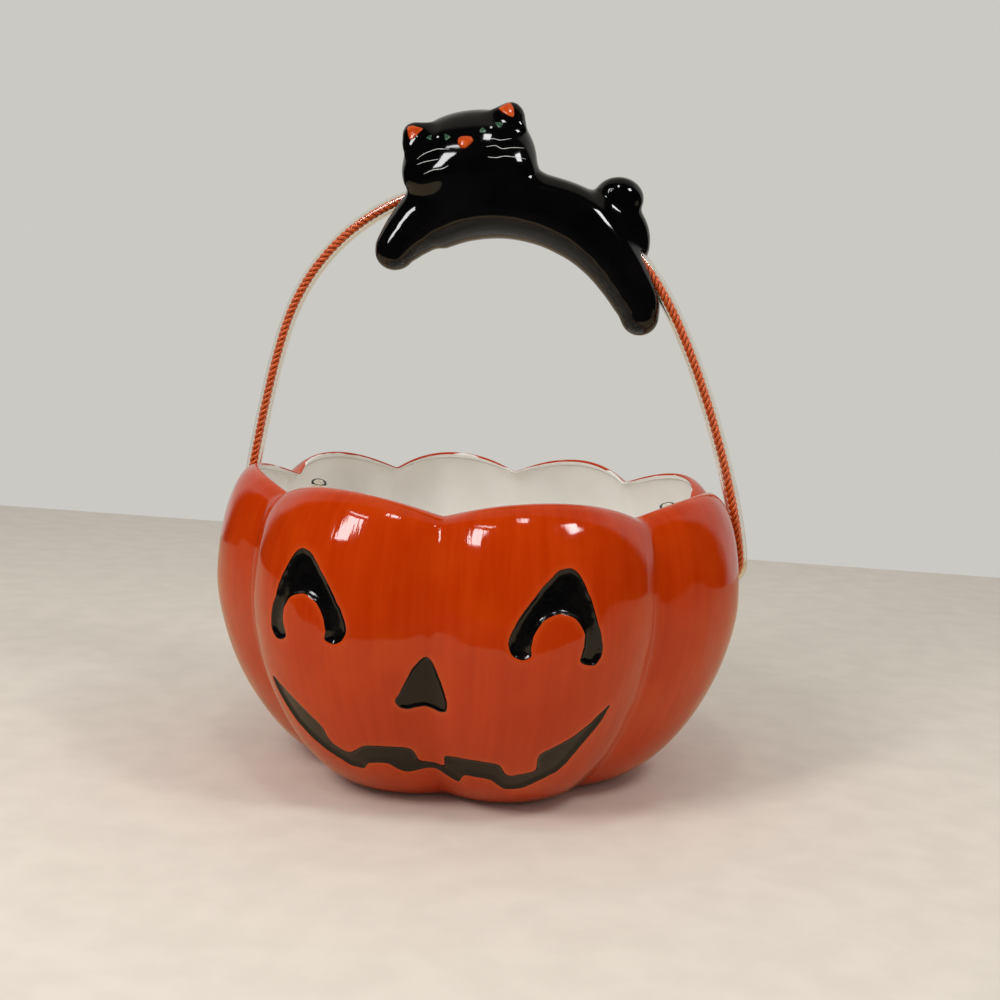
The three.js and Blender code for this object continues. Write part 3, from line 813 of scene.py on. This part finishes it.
brush_relief = n.noise(n.stretched(way, (0.9, 0.9, 0.05)), 1.0, 2.0)
relief = n.bump(ripple, 0.0007)
relief = n.bump(brush_relief, 0.00005, relief)
relief = n.bump(skin, 0.00001, relief)
rough = n.spread(streaks, 0.3, 0.7, 0.055, 0.1)
n.finish(n.add("ShaderNodeBsdfPrincipled", None, Base_Color=glaze_colour, Roughness=rough,
               IOR=1.46, Normal=relief).outputs[0])
pumpkin_bowl.data.materials.append(glaze)
print("nodes in the bowl's glaze:", len(glaze.node_tree.nodes))

# %% [markdown]
# The black glaze of each eye, the nose and the mouth is a piece of its own. It is cut from the
# same triangles as the hollow under it. In the middle it stands 0.16 mm above the clay, and it
# runs out at the edge. Solidify gives it a back, so it is a closed skin.

# %% Black glaze in the carved face
black, n = new_material("black_face_glaze")
strokes = n.noise(n.stretched(n.place(), (520.0, 520.0, 900.0)), 1.0, 4.0, 0.6)
patches = n.noise(n.place(), 90.0, 3.0)
ink = n.mix(n.spread(strokes, 0.35, 0.75), colour(4, 4, 4), colour(12, 11, 11))
ink = n.mix(n.spread(patches, 0.45, 0.75, 0.0, 0.5), ink, colour(22, 18, 17))
relief = n.bump(patches, 0.0003)
relief = n.bump(strokes, 0.00004, relief)
n.finish(n.add("ShaderNodeBsdfPrincipled", None, Base_Color=ink, Roughness=0.12, IOR=1.46,
               Normal=relief).outputs[0])


def apply_modifiers(piece):
    """Swaps the mesh for the one that its modifiers make"""
    bpy.context.view_layer.update()
    graph = bpy.context.evaluated_depsgraph_get()
    made = bpy.data.meshes.new_from_object(piece.evaluated_get(graph))
    old, piece.data = piece.data, made
    piece.modifiers.clear()
    bpy.data.meshes.remove(old)


def give_back(piece, thickness):
    """Makes a sheet into a closed skin of a set thickness in mm"""
    back = piece.modifiers.new("back", "SOLIDIFY")
    back.thickness, back.offset = thickness * MM, -1
    apply_modifiers(piece)
    piece.data.shade_smooth()


film, film_gap, film_run_out = 0.14, 0.02, 0.35
film_thickness = 0.25
for name in face:
    chosen = outer.faces[outer.inside(name)]
    used, renumbered = np.unique(chosen, return_inverse=True)
    distance = nearest(outer.place, outer.loops[name]["place"])[used]
    lift = film * (1 - np.exp(-distance / film_run_out)) + film_gap
    glaze_place = outer_place[used] + outer.normal[used] * lift[:, None]
    piece = put(name.replace("_glaze", "_fill"), glaze_place, renumbered.reshape(-1, 3))
    weld(piece)
    give_back(piece, film_thickness)
    piece.data.materials.append(black)
    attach(piece, "bowl")
    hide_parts(name)
print("black glaze pieces:", len(face))

# %% [markdown]
# The handle is one length of clear tube. Its middle line is a plain set of curves: a round arc
# over the bowl, two legs that bend down to the holes, a tight elbow through each wall, and a hook
# inside. The same curves give the measured tube, so the two lie on each other.

# %% The handle's middle line
tube_radius, bore_radius = 3.0, 2.15
leg_reach, elbow_radius = 100.3, 6.5
arc_centre, arc_radius = np.array([-5.8, 0, 64.7]), 82.9
hook_radius, hook_turn, hook_lean = 16.0, math.radians(79), math.radians(19)
arc_right, arc_left = math.radians(36.5), math.radians(163)
hinge = np.array([0, hinge_setback, hinge_height])
tube_tail, cord_tail = 17.5, 5.0
tube_spacing, cord_spacing = 0.6, 0.24


def arc_points(centre, radius, start, end, steps):
    """Points of an upright arc. A turn of 0 points to +X, and a quarter turn points up."""
    turn = np.linspace(start, end, steps + 1)
    return centre + np.stack([radius * np.cos(turn), 0 * turn, radius * np.sin(turn)], axis=1)


def side_route(side, arc_end, pull_top, pull_foot, hook_inset, tail):
    """From the top arc's end down the leg, through the wall and up the hook"""
    start = arc_points(arc_centre, arc_radius, arc_end, arc_end, 0)[0] * (side, 1, 1)
    start_way = np.array([math.sin(arc_end) * side, 0, -math.cos(arc_end) * side]) * (side, 1, 1)
    end = np.array([leg_reach, 0, elbow_radius])
    t = np.linspace(0, 1, 49)[:, None]
    leg = ((1 - t) ** 3 * start + 3 * (1 - t) ** 2 * t * (start + start_way * pull_top)
           + 3 * (1 - t) * t**2 * (end + (0, 0, pull_foot)) + t**3 * end)
    elbow = arc_points(np.array([leg_reach - elbow_radius, 0, elbow_radius]), elbow_radius,
                       0, -math.pi / 2, 12)
    hook = arc_points(np.array([leg_reach - hook_inset, 0, hook_radius]), hook_radius,
                      -math.pi / 2, -math.pi / 2 - hook_turn, 18)
    tail_way = np.array([-math.cos(hook_turn), 0, math.sin(hook_turn)])
    hook = np.vstack([hook, hook[-1] + tail_way * np.linspace(0, tail, 9)[1:, None]])
    leaned = np.stack([hook[:, 0], -hook[:, 2] * math.sin(hook_lean),
                       hook[:, 2] * math.cos(hook_lean)], axis=1)
    return np.vstack([leg[1:], elbow[1:], leaned]) * (side, 1, 1)


def handle_route(tail):
    """The whole middle line, with a straight tail of a set length after each hook"""
    left = side_route(-1, arc_left, 28.8, 4.0, 14.8, tail)
    right = side_route(1, arc_right, 35.7, 15.0, 9.8, tail)
    top = arc_points(arc_centre, arc_radius, arc_left, arc_right, 80)
    return np.vstack([left[::-1], top, right]) + hinge


def even_line(points, spacing):
    """An open line with its points a set distance apart, and its length"""
    walked = np.concatenate([[0], np.cumsum(np.linalg.norm(np.diff(points, axis=0), axis=1))])
    stops = np.linspace(0, walked[-1], int(round(walked[-1] / spacing)) + 1)
    line = np.stack([np.interp(stops, walked, column) for column in points.T], axis=1)
    return line, walked[-1]


def line_frames(line):
    """For each point of a line, two directions across it"""
    heading = np.gradient(line, axis=0)
    heading /= np.linalg.norm(heading, axis=1, keepdims=True)
    across = np.cross(heading, (0, 1, 0))
    across /= np.linalg.norm(across, axis=1, keepdims=True)
    return across, np.cross(heading, across)


tube_line, tube_length = even_line(handle_route(tube_tail), tube_spacing)
cord_line, cord_length = even_line(handle_route(cord_tail), cord_spacing)
print("tube length in mm:", round(tube_length, 1), "cord length in mm:", round(cord_length, 1))

# %% [markdown]
# A real tube has an outer and an inner skin, and both bend the light. Only then does it look as
# clear tube does: a see-through middle where the cord shows at its true width, and bright and
# dark lines along both edges. So the bore is modelled, and the ends are open rings.

# %% Clear tube
tube_sides = 64


def tube_rings(line, radius, sides):
    """Rings of points round a line. The radius is one number, or one for each ring."""
    across, over = line_frames(line)
    turn = np.linspace(0, 2 * math.pi, sides, endpoint=False)
    ring = np.cos(turn)[:, None] * across[:, None] + np.sin(turn)[:, None] * over[:, None]
    return line[:, None] + np.reshape(radius, (-1, 1, 1)) * ring


def ring_faces(index):
    """Faces between each ring of point numbers and the next"""
    return [face for near, far in zip(index, index[1:]) for face in closed_strip(near, far)]


skins = [tube_rings(tube_line, radius, tube_sides) for radius in (tube_radius, bore_radius)]
outside, bore = np.arange(2 * len(tube_line) * tube_sides).reshape(2, -1, tube_sides)
faces = [*ring_faces(outside), *ring_faces(bore)]
for end in (0, -1):
    faces += closed_strip(outside[end], bore[end])
clear_tube = put("clear_tube", np.concatenate([s.reshape(-1, 3) for s in skins]), faces)
print("tube open edges:", weld(clear_tube))
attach(clear_tube, "handle")
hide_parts("handle_tube")

# %% [markdown]
# The vinyl lets light through and bends it, and faint scuffs soften it here and there. Shadows
# and soft light would come through such a material slowly and in spots, so those rays meet a
# plain, slightly tinted window instead. The cord inside stays lit, and the shadow stays faint.

# %% Clear vinyl
vinyl, n = new_material("clear_vinyl_tube")
scuffs = n.noise(n.stretched(n.place(), (300.0, 300.0, 300.0)), 1.0, 3.0)
clear = n.add("ShaderNodeBsdfPrincipled", None,
              Base_Color=n.mix(scuffs, colour(252, 248, 242), colour(247, 240, 230)),
              Roughness=n.spread(scuffs, 0.3, 0.8, 0.0, 0.02), IOR=1.5, Transmission_Weight=1.0)
lets_light = n.add("ShaderNodeBsdfTransparent", None, Color=(0.93, 0.92, 0.9, 1))
path = n.add("ShaderNodeLightPath").outputs
unseen = n.math("MAXIMUM", path["Is Shadow Ray"], path["Is Diffuse Ray"])
n.finish(n.add("ShaderNodeMixShader", None, Fac=unseen, i1=clear.outputs[0],
               i2=lets_light.outputs[0]).outputs[0])
clear_tube.data.materials.append(vinyl)
print("rings of the tube:", len(tube_line))

# %% [markdown]
# The cord in the tube is twisted from three strands. Each strand is a thin tube that winds round
# the middle line, pressed flat where it meets the others. Fine ridges along it stand for its yarn.
# A value is kept at each point for how deep it lies in the groove between the strands, and the
# yarn's finish paints shade there by it. The cord is thinner than the bore, so over the top and
# down the left leg it lies against the outer wall.

# %% Twisted cord
twist_length = 7.1
strand_count = 3
strand_offset = 0.90
strand_sides = 18
strand_long, strand_flat = 0.88, 0.80
ridge_count, ridge_height, ridge_slant = 5, 0.045, 5.0
lean_out = 0.38


def strand(line, start_turn):
    """One strand: its points, and how deep each lies in the groove"""
    across, over = line_frames(line)
    walked = np.arange(len(line)) * np.linalg.norm(line[1] - line[0])
    turn = start_turn + walked * 2 * math.pi / twist_length
    out = np.cos(turn)[:, None] * across + np.sin(turn)[:, None] * over
    side = -np.sin(turn)[:, None] * across + np.cos(turn)[:, None] * over
    round_turn = np.linspace(0, 2 * math.pi, strand_sides, endpoint=False)
    ridge_turn = ridge_count * round_turn[None, :] + walked[:, None] * ridge_slant
    yarn = 1 + ridge_height * np.cos(ridge_turn)
    away = strand_flat * np.cos(round_turn)[None, :] * yarn
    beside = strand_long * np.sin(round_turn)[None, :] * yarn
    middle = line + out * strand_offset
    points = middle[:, None] + away[..., None] * out[:, None] + beside[..., None] * side[:, None]
    groove = np.clip(0.35 - np.cos(round_turn), 0, 1)
    return points, np.broadcast_to(groove, points.shape[:2])


def capped_faces(rings, first=0):
    """Faces of a tube that is closed at both ends, with its points numbered from the first on"""
    index = first + np.arange(rings.shape[0] * rings.shape[1]).reshape(rings.shape[:2])
    return [*ring_faces(index), tuple(index[0]), tuple(index[-1])]


left_of_top = np.clip((45 - cord_line[:, 0]) / 60, 0, 1)
above_hole = np.clip((cord_line[:, 2] - 85) / 25, 0, 1)
shift = lean_out * (left_of_top * above_hole)
laid_line = cord_line + line_frames(cord_line)[0] * shift[:, None]
points, groove_shade, faces = [], [], []
for start_turn in np.arange(strand_count) * 2 * math.pi / strand_count:
    rows, groove = strand(laid_line, start_turn)
    faces += capped_faces(rows, sum(len(p) for p in points))
    points.append(rows.reshape(-1, 3))
    groove_shade.append(groove.ravel())
twisted_cord = put("twisted_cord", np.vstack(points), faces)
keep_values(twisted_cord, "groove", np.concatenate(groove_shade))
print("cord points:", len(twisted_cord.data.vertices), "open edges:", weld(twisted_cord))
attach(twisted_cord, "handle")
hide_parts("handle_cord")

# %% [markdown]
# The yarn is bright orange with fine fibres and a faint sheen. Little light gets into the grooves
# between the strands, so the kept value paints shade there in a darker orange, and the twist reads
# from a distance too.

# %% Orange yarn
cord_finish, n = new_material("orange_cord_yarn")
depth = n.attribute("groove")["Fac"]
fibres = n.noise(n.place(), 2600.0, 3.0, 0.7)
tints = n.noise(n.place(), 300.0, 2.0)
yarn = n.mix(n.spread(fibres, 0.3, 0.7), colour(204, 74, 2), colour(228, 98, 10))
yarn = n.mix(n.spread(tints, 0.4, 0.7, 0.0, 0.3), yarn, colour(240, 120, 36))
# Painted shade: the yarn turns dark orange where it lies deep in a groove.
yarn = n.mix(n.spread(depth, 0.25, 0.95), yarn, colour(134, 36, 4))
n.finish(n.add("ShaderNodeBsdfPrincipled", None, Base_Color=yarn, Roughness=0.4, Sheen_Weight=0.08,
               Sheen_Roughness=0.4, Normal=n.bump(fibres, 0.00006)).outputs[0])
twisted_cord.data.materials.append(cord_finish)
print("turns of the twist:", round(cord_length / twist_length, 1))

# %% [markdown]
# The cat is one casting: a long body bent over the handle, a wide flat head, two ears and a tail
# with a round tip. Each part starts as its own closed form, which is easy to move and to size.
# Two kinds are enough. A limb is a tube through rows of sizes, with round ends, and a cushion is
# a rounded form inside an outline. All places are measured from the centre of the handle's arc.

# %% Forms of the cat
cat_origin = np.array([-5.8, 8.5, 140.7])
limb_steps, limb_sides, limb_power = 8, 40, 2.15
cushion_rings = 26
body_rows = [
    (-35.1, -6.6, 53.7, 7.5, 8.2), (-33.4, -5.6, 57.4, 8.9, 9), (-28.8, -3.2, 63.4, 11, 10.6),
    (-22.4, -0.8, 69.1, 13.2, 11.9), (-8.6, 0, 74.5, 13.7, 13.4), (7.7, 0, 76, 13.5, 14),
    (23.5, 0, 73.7, 13.5, 13.2), (36.8, 0, 68.5, 13.6, 12.6), (47.4, 0, 59, 11.6, 11.5),
    (55.3, 0, 48.7, 10, 10), (60.3, 0, 40.2, 8.9, 8.6), (62.2, 0, 33.4, 7.2, 7),
]
tail_rows = [
    (56.2, 4.5, 55, 4, 5), (58.1, 4.5, 60.6, 5.4, 6), (57.6, 4.5, 66.8, 5.8, 6),
    (54.6, 4.5, 72.6, 5.8, 6), (50.4, 4.5, 76.8, 6, 6),
]
head_outline = [
    (-33.0, 91.4), (-31.6, 96.7), (-27.6, 102.1), (-22.2, 107.2), (-15.9, 110.0), (-9.0, 111.5),
    (-1.2, 111.9), (6.8, 110.3), (13.1, 106.0), (17.2, 99.5), (19.2, 93.2), (19.2, 87.6),
    (13.9, 83.6), (6.6, 81.0), (-4.5, 78.7), (-16, 77.5), (-24.9, 76.9), (-30.8, 80.1),
    (-33.0, 85.6),
]
left_ear_outline = [
    (-33.4, 98.4), (-33.6, 101.1), (-33.1, 103.2), (-32.1, 104.5), (-30.6, 105.3), (-28.5, 105.6),
    (-26.2, 105.5), (-21.5, 105.6), (-22.1, 101.8), (-25.1, 97.9), (-28.9, 94), (-31.6, 92.4),
    (-33.2, 96),
]
right_ear_outline = [
    (-0.6, 110.4), (2.5, 112.2), (5.9, 114), (7.9, 114.4), (9.5, 114.1), (11.2, 113), (12.5, 111.5),
    (13.5, 109.5), (14, 107.2), (14.9, 103.1), (12.2, 103.1), (7.4, 105.6), (3, 108.1),
]


def boxed(wave, power):
    """A sine or cosine pressed towards a square wave, the more so the higher the power"""
    return np.sign(wave) * np.abs(wave) ** (2 / power)


def limb(rows):
    """A form through rows of x, y, z, half height and half depth, with round ends"""
    rows = curve_through(rows, limb_steps)
    place, tall, deep = rows[:, :3], rows[:, 3], rows[:, 4]
    heading = np.gradient(place, axis=0)
    heading /= np.linalg.norm(heading, axis=1, keepdims=True)
    ends = []
    for at, inner, sign in ((0, 1, -1), (-1, -2, 1)):
        taper = math.atan((tall[inner] - tall[at]) / np.linalg.norm(place[inner] - place[at]))
        caps = np.linspace(taper, math.pi / 2, 10)[1:-1]
        reach = tall[at] / math.cos(taper) * (np.sin(caps) - math.sin(taper))
        shrunk = np.cos(caps) / math.cos(taper)
        ends.append((place[at] + reach[:, None] * heading[at] * sign, tall[at] * shrunk,
                     deep[at] * shrunk, np.repeat(heading[at][None], len(caps), axis=0)))
    (p0, t0, d0, h0), (p1, t1, d1, h1) = ends
    place = np.vstack([p0[::-1], place, p1])
    tall, deep = np.concatenate([t0[::-1], tall, t1]), np.concatenate([d0[::-1], deep, d1])
    heading = np.vstack([h0, heading, h1])
    across = np.cross((0, 1, 0), heading)
    turn = np.linspace(0, 2 * math.pi, limb_sides, endpoint=False)
    up = (tall[:, None] * boxed(np.cos(turn), limb_power))[..., None]
    back = (deep[:, None] * boxed(np.sin(turn), limb_power))[..., None]
    rings = place[:, None] + up * across[:, None] + back * np.array([0, 1, 0])
    return rings.reshape(-1, 3), capped_faces(rings)


def cushion(outline, middle, depth, power, lean_side=0.0, lean_back=0.0):
    """A rounded form inside an outline seen from the front, which may lean sideways and back"""
    loop = evenly_spaced(curve_through(outline, 8, closed=True, pull=0.4), 1.2)
    centre = (loop.min(axis=0) + loop.max(axis=0)) / 2
    rise = np.linspace(-math.pi / 2, math.pi / 2, cushion_rings + 1)[1:-1]
    shrunk = boxed(np.cos(rise), power)[:, None, None] * (loop - centre)
    forward = depth * boxed(np.sin(rise), power)[:, None] + 0 * shrunk[..., 0]
    points = np.stack([shrunk[..., 0], forward, shrunk[..., 1]], axis=-1).reshape(-1, 3)
    points = np.concatenate([[[0, -depth, 0]], points, [[0, depth, 0]]])
    points[:, 1] += lean_side * points[:, 0] + lean_back * points[:, 2]
    index = 1 + np.arange(len(rise) * len(loop)).reshape(-1, len(loop))
    faces = ring_faces(index)
    last = len(points) - 1
    faces += [(0, a, b) for a, b in zip(index[0], np.roll(index[0], -1))]
    faces += [(last, a, b) for a, b in zip(index[-1], np.roll(index[-1], -1))]
    return points + (centre[0], middle, centre[1]), faces


def ball_outline(x, z, half_width, half_height):
    turn = np.linspace(0, 2 * math.pi, 24, endpoint=False)
    return np.stack([x + half_width * np.cos(turn), z + half_height * np.sin(turn)], axis=1)


def join_forms(name, forms):
    points, faces = [], []
    for form_points, form_faces in forms:
        start = sum(len(p) for p in points)
        points.append(form_points)
        faces += [tuple(int(i) + start for i in face) for face in form_faces]
    return put(name, np.vstack(points), faces)


cat_forms = [
    limb(body_rows), limb(tail_rows),
    cushion(ball_outline(50.6, 79.7, 9.8, 8.4), 4.5, 8.4, 2),
    cushion(head_outline, -2.4, 13.6, 2.1, -0.03, 0.37),
    cushion(left_ear_outline, -4.5, 4.3, 2.2, 0, 0.35),
    cushion(right_ear_outline, -2.5, 4.3, 2.2, 0, 0.35),
]
cat = join_forms("black_cat", [(points + cat_origin, faces) for points, faces in cat_forms])
weld(cat)
print("forms of the cat:", len(cat_forms))

# %% [markdown]
# A voxel remesh melts the forms into one skin. Smoothing alone would thin the ears and the legs.
# So only a few even passes are made, and in many more a point moves outwards where the skin is
# hollow, and nowhere else. Thick glaze does the same: it pools in the joins. The channel for the
# tube is cut last, with a little room round the tube.

# %% Melt the forms into one casting
voxel_size = 0.75
channel_radius, channel_sides, channel_spacing = 3.6, 32, 1.5
channel_left, channel_right = math.radians(134), math.radians(8)

melt = cat.modifiers.new("melt", "REMESH")
melt.mode, melt.voxel_size = "VOXEL", voxel_size * MM
apply_modifiers(cat)


def pool_glaze(piece, even_passes, pool_passes):
    """Evens the skin without shrinking it, and lets glaze pool in the joins and nowhere else"""
    mesh = piece.data
    count = len(mesh.vertices)
    place = np.empty(count * 3, np.float32)
    mesh.vertices.foreach_get("co", place)
    place = place.reshape(-1, 3)
    ends = np.empty(len(mesh.edges) * 2, np.int32)
    mesh.edges.foreach_get("vertices", ends)
    first, second = ends.reshape(-1, 2).T
    neighbours = np.bincount(ends, minlength=count)

    def drift():
        """The way from each point to the middle of its neighbours"""
        total = [np.bincount(first, place[second, axis], count)
                 + np.bincount(second, place[first, axis], count) for axis in range(3)]
        return np.stack(total, axis=1) / neighbours[:, None] - place

    def even_out(passes):
        """Smoothing in pairs of steps, in and out again, so that nothing shrinks"""
        nonlocal place
        for _ in range(passes):
            for push in (0.5, -0.51):
                place = place + push * drift()

    even_out(even_passes)
    normal = np.empty(count * 3, np.float32)
    for _ in range(pool_passes):
        mesh.vertices.foreach_set("co", place.astype(np.float32).ravel())
        mesh.update()
        mesh.vertex_normals.foreach_get("vector", normal)
        outward = normal.reshape(-1, 3)
        rise = np.maximum((drift() * outward).sum(axis=1, keepdims=True), 0)
        place = place + 0.8 * rise * outward
    even_out(even_passes)
    mesh.vertices.foreach_set("co", place.astype(np.float32).ravel())
    mesh.update()


pool_glaze(cat, even_passes=14, pool_passes=600)
channel_arc = arc_points(cat_origin, arc_radius, channel_left, channel_right, 90)
channel_line, _ = even_line(channel_arc, channel_spacing)
channel_rings = tube_rings(channel_line, channel_radius, channel_sides)
channel = put("channel", channel_rings.reshape(-1, 3), capped_faces(channel_rings))
weld(channel)
cut = cat.modifiers.new("cut", "BOOLEAN")
cut.operation, cut.object, cut.solver = "DIFFERENCE", channel, "MANIFOLD"
apply_modifiers(cat)
bpy.data.objects.remove(channel)
cat.data.materials.clear()
cat.data.shade_smooth()
print("cat points:", len(cat.data.vertices))
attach(cat, "cat")
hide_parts("cat_body")

# %% [markdown]
# The cat's glaze is blacker and shinier than the face's. It drifts slowly between two near-blacks
# and has fine specks. The same slow drift waves the skin a little, which bends the reflections.

# %% Black glaze on the cat
cat_finish, n = new_material("black_cat_glaze")
tone_drift = n.noise(n.place(), 45.0, 3.0)
specks = n.noise(n.place(), 900.0, 2.0)
coat = n.mix(n.spread(tone_drift, 0.35, 0.75), colour(3, 3, 4), colour(9, 8, 8))
coat = n.mix(n.spread(specks, 0.68, 0.78, 0.0, 0.35), coat, colour(30, 27, 26))
relief = n.bump(tone_drift, 0.00015)
relief = n.bump(specks, 0.000004, relief)
n.finish(n.add("ShaderNodeBsdfPrincipled", None, Base_Color=coat, Roughness=0.06, IOR=1.47,
               Normal=relief).outputs[0])
cat.data.materials.append(cat_finish)
print("nodes in the cat's glaze:", len(cat_finish.node_tree.nodes))

# %% [markdown]
# The cat's nose, inner ears, eyes and whiskers are painted on the black glaze. Paint has a little
# body, so each mark is a thin closed piece on the skin. Its outline is given from straight in
# front, and a ray from the front finds the skin behind every point.

# %% Helpers for painted marks
paint_gap, paint_thickness = 0.03, 0.2
line_sides, line_tip = 8, 0.35
cat_tree = BVHTree.FromObject(cat, bpy.context.evaluated_depsgraph_get())


def on_cat(x, z, proud=0.0):
    """The point of the cat's skin behind a place seen from straight in front, in mm"""
    start = Vector((cat_origin[0] + x, -200, cat_origin[2] + z)) * MM
    hit, normal, _, _ = cat_tree.ray_cast(start, Vector((0, 1, 0)))
    if hit is None:
        raise ValueError(f"no skin behind {x}, {z}")
    return np.array(hit) / MM + np.array(normal) * proud


def painted_patch(name, outline, height, spacing=0.4, rounding=0.5):
    """A thin patch of paint inside a closed outline, which rises to its height over the rounding"""
    loop = evenly_spaced(curve_through(outline, 6, closed=True, pull=0.3), spacing)
    low, high = loop.min(axis=0), loop.max(axis=0)
    columns, rows = (np.arange(low[axis], high[axis], spacing) for axis in (0, 1))
    grid = np.stack(np.meshgrid(columns, rows), axis=-1).reshape(-1, 2)
    grid = grid[inside_loop(grid, loop)]
    grid = grid[nearest(grid, loop) > spacing * 0.6]
    spots = np.vstack([loop, grid])
    ties = [(i, (i + 1) % len(loop)) for i in range(len(loop))]
    out = delaunay_2d_cdt([Vector(s) for s in spots], ties, [], 1, 1e-6, True)
    made = np.array([s[:] for s in out[0]])
    from_edge = np.minimum(nearest(made, loop) / rounding, 1)
    lift = height * np.sqrt(1 - (1 - from_edge) ** 2) + paint_gap
    points = np.array([on_cat(x, z, rise) for (x, z), rise in zip(made, lift)])
    piece = put(name, points, out[2])
    weld(piece)
    give_back(piece, paint_thickness)
    return piece


def painted_line(name, rows, radius):
    """A thin raised brush line along the skin, with pointed ends"""
    spots = curve_through(rows, 10)
    line = np.array([on_cat(x, z) for x, z in spots])
    share = np.linspace(0, 1, len(line))
    fullness = np.sin(np.pi * np.clip(share, 0.02, 0.98)) ** 0.5
    rings = tube_rings(line, radius * (line_tip + (1 - line_tip) * fullness), line_sides)
    piece = put(name, rings.reshape(-1, 3), capped_faces(rings))
    weld(piece)
    return piece


print("room under the paint in mm:", paint_gap)

# %% [markdown]
# Three paints are enough: orange for the nose and the inner ears, green for the eyes, and white
# for the dots and the whiskers. Each was brushed on, so it varies between two tones.

# %% Paints
def paint(name, main, other, rough):
    """A brushed paint that varies between two tones"""
    finish, n = new_material(name)
    brushed = n.noise(n.place(), 700.0, 4.0, 0.6)
    tone = n.mix(n.spread(brushed, 0.3, 0.7), main, other)
    n.finish(n.add("ShaderNodeBsdfPrincipled", None, Base_Color=tone, Roughness=rough, IOR=1.5,
                   Normal=n.bump(brushed, 0.00005)).outputs[0])
    return finish


orange_paint = paint("orange_cat_glaze", colour(172, 54, 10), colour(200, 82, 30), 0.12)
green_paint = paint("green_eye_paint", colour(38, 66, 50), colour(60, 92, 70), 0.15)
white_paint = paint("white_whisker_paint", colour(190, 190, 188), colour(225, 225, 222), 0.3)
print("paints:", [finish.name for finish in (orange_paint, green_paint, white_paint)])

# %% [markdown]
# The inner ears are flat patches of orange, and the nose is a thicker drop of it. The measured
# model has a thin solid for each of the three, and these pieces stand in for those solids.

# %% Inner ears and nose
inner_ears = {
    "left": [(-31.4, 103.1), (-29.7, 103.8), (-27.5, 103.1), (-25, 102.5), (-26.6, 100.3),
             (-28.3, 98.3), (-29.7, 98.1), (-30.8, 100.6)],
    "right": [(3.6, 111.2), (5.4, 112.8), (7.5, 113.8), (9.3, 111.8), (10, 109.4), (9.7, 107.8),
              (7.7, 108.3), (5.2, 109.7)],
}
marks = []
for side, outline in inner_ears.items():
    patch = painted_patch(f"{side}_inner_ear", outline, 0.2)
    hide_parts(f"cat_{side}_inner_ear")
    marks.append((patch, orange_paint, "cat_orange_glaze"))

nose_mark = [(-9.9, 97.3), (-9.7, 98.3), (-8.6, 99.1), (-6.9, 99.4), (-5.2, 99.3), (-4.1, 98.5),
             (-3.8, 97.5), (-4.4, 96.5), (-5.2, 95.6), (-6.4, 94.5), (-7.8, 94.4), (-9, 95.2)]
cat_nose = painted_patch("orange_cat_nose", nose_mark, 1.0, rounding=2.2)
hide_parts("cat_nose")
marks.append((cat_nose, orange_paint, "cat_orange_glaze"))
print("orange marks:", len(marks))

# %% [markdown]
# Each eye is two green corners with a white dot between them, and each whisker is one stroke of a
# fine brush. They are too thin to be solids of their own, so they only ride on the cat.

# %% Eyes and whiskers
green_marks = {
    "left_eye_outer": [(-23, 98.7), (-20.9, 99.9), (-20.9, 97.7)],
    "left_eye_inner": [(-15.5, 100.2), (-12.8, 98.9), (-14.7, 97.4)],
    "right_eye_inner": [(-2.1, 101.5), (-1.2, 103.1), (0.7, 101.5), (-0.8, 100.8)],
    "right_eye_outer": [(3.1, 105.3), (6.3, 105.5), (5.1, 103.1)],
}
for name, outline in green_marks.items():
    marks.append((painted_patch(f"cat_{name}", outline, 0.12, 0.3), green_paint, "cat_glaze"))
for name, (x, z) in {"left": (-18.1, 98.9), "right": (2.1, 103.2)}.items():
    dot = [(x + 0.5 * math.cos(t), z + 0.45 * math.sin(t)) for t in np.linspace(0, 5.5, 8)]
    marks.append((painted_patch(f"cat_{name}_eye_dot", dot, 0.12, 0.2), white_paint, "cat_glaze"))
whiskers = {
    "left_top": [(-25.5, 90.3), (-22.6, 92.3), (-17.8, 94.0), (-15.8, 94.1), (-12.7, 94.1)],
    "left_middle": [(-25.2, 88.1), (-22.1, 89.1), (-16.6, 90.1)],
    "left_bottom": [(-22.0, 84.5), (-18.4, 86.0), (-14.9, 86.5), (-12.5, 87.7)],
    "right_top": [(1.1, 98.0), (3.5, 98.7), (6.2, 98.3), (10.1, 99.3)],
    "right_middle": [(1.4, 95.4), (4.6, 96.0), (7.3, 95.0), (10.8, 95.7), (14.9, 96.0)],
    "right_bottom": [(2.4, 91.5), (5.5, 91.4), (9.1, 92.2), (16.0, 91.8)],
}
whisker_radius = 0.15
for name, rows in whiskers.items():
    marks.append((painted_line(f"whisker_{name}", rows, whisker_radius), white_paint, "cat_glaze"))
for piece, finish, slot in marks:
    piece.data.materials.append(finish)
    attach(piece, "cat")
print("painted marks:", len(marks))
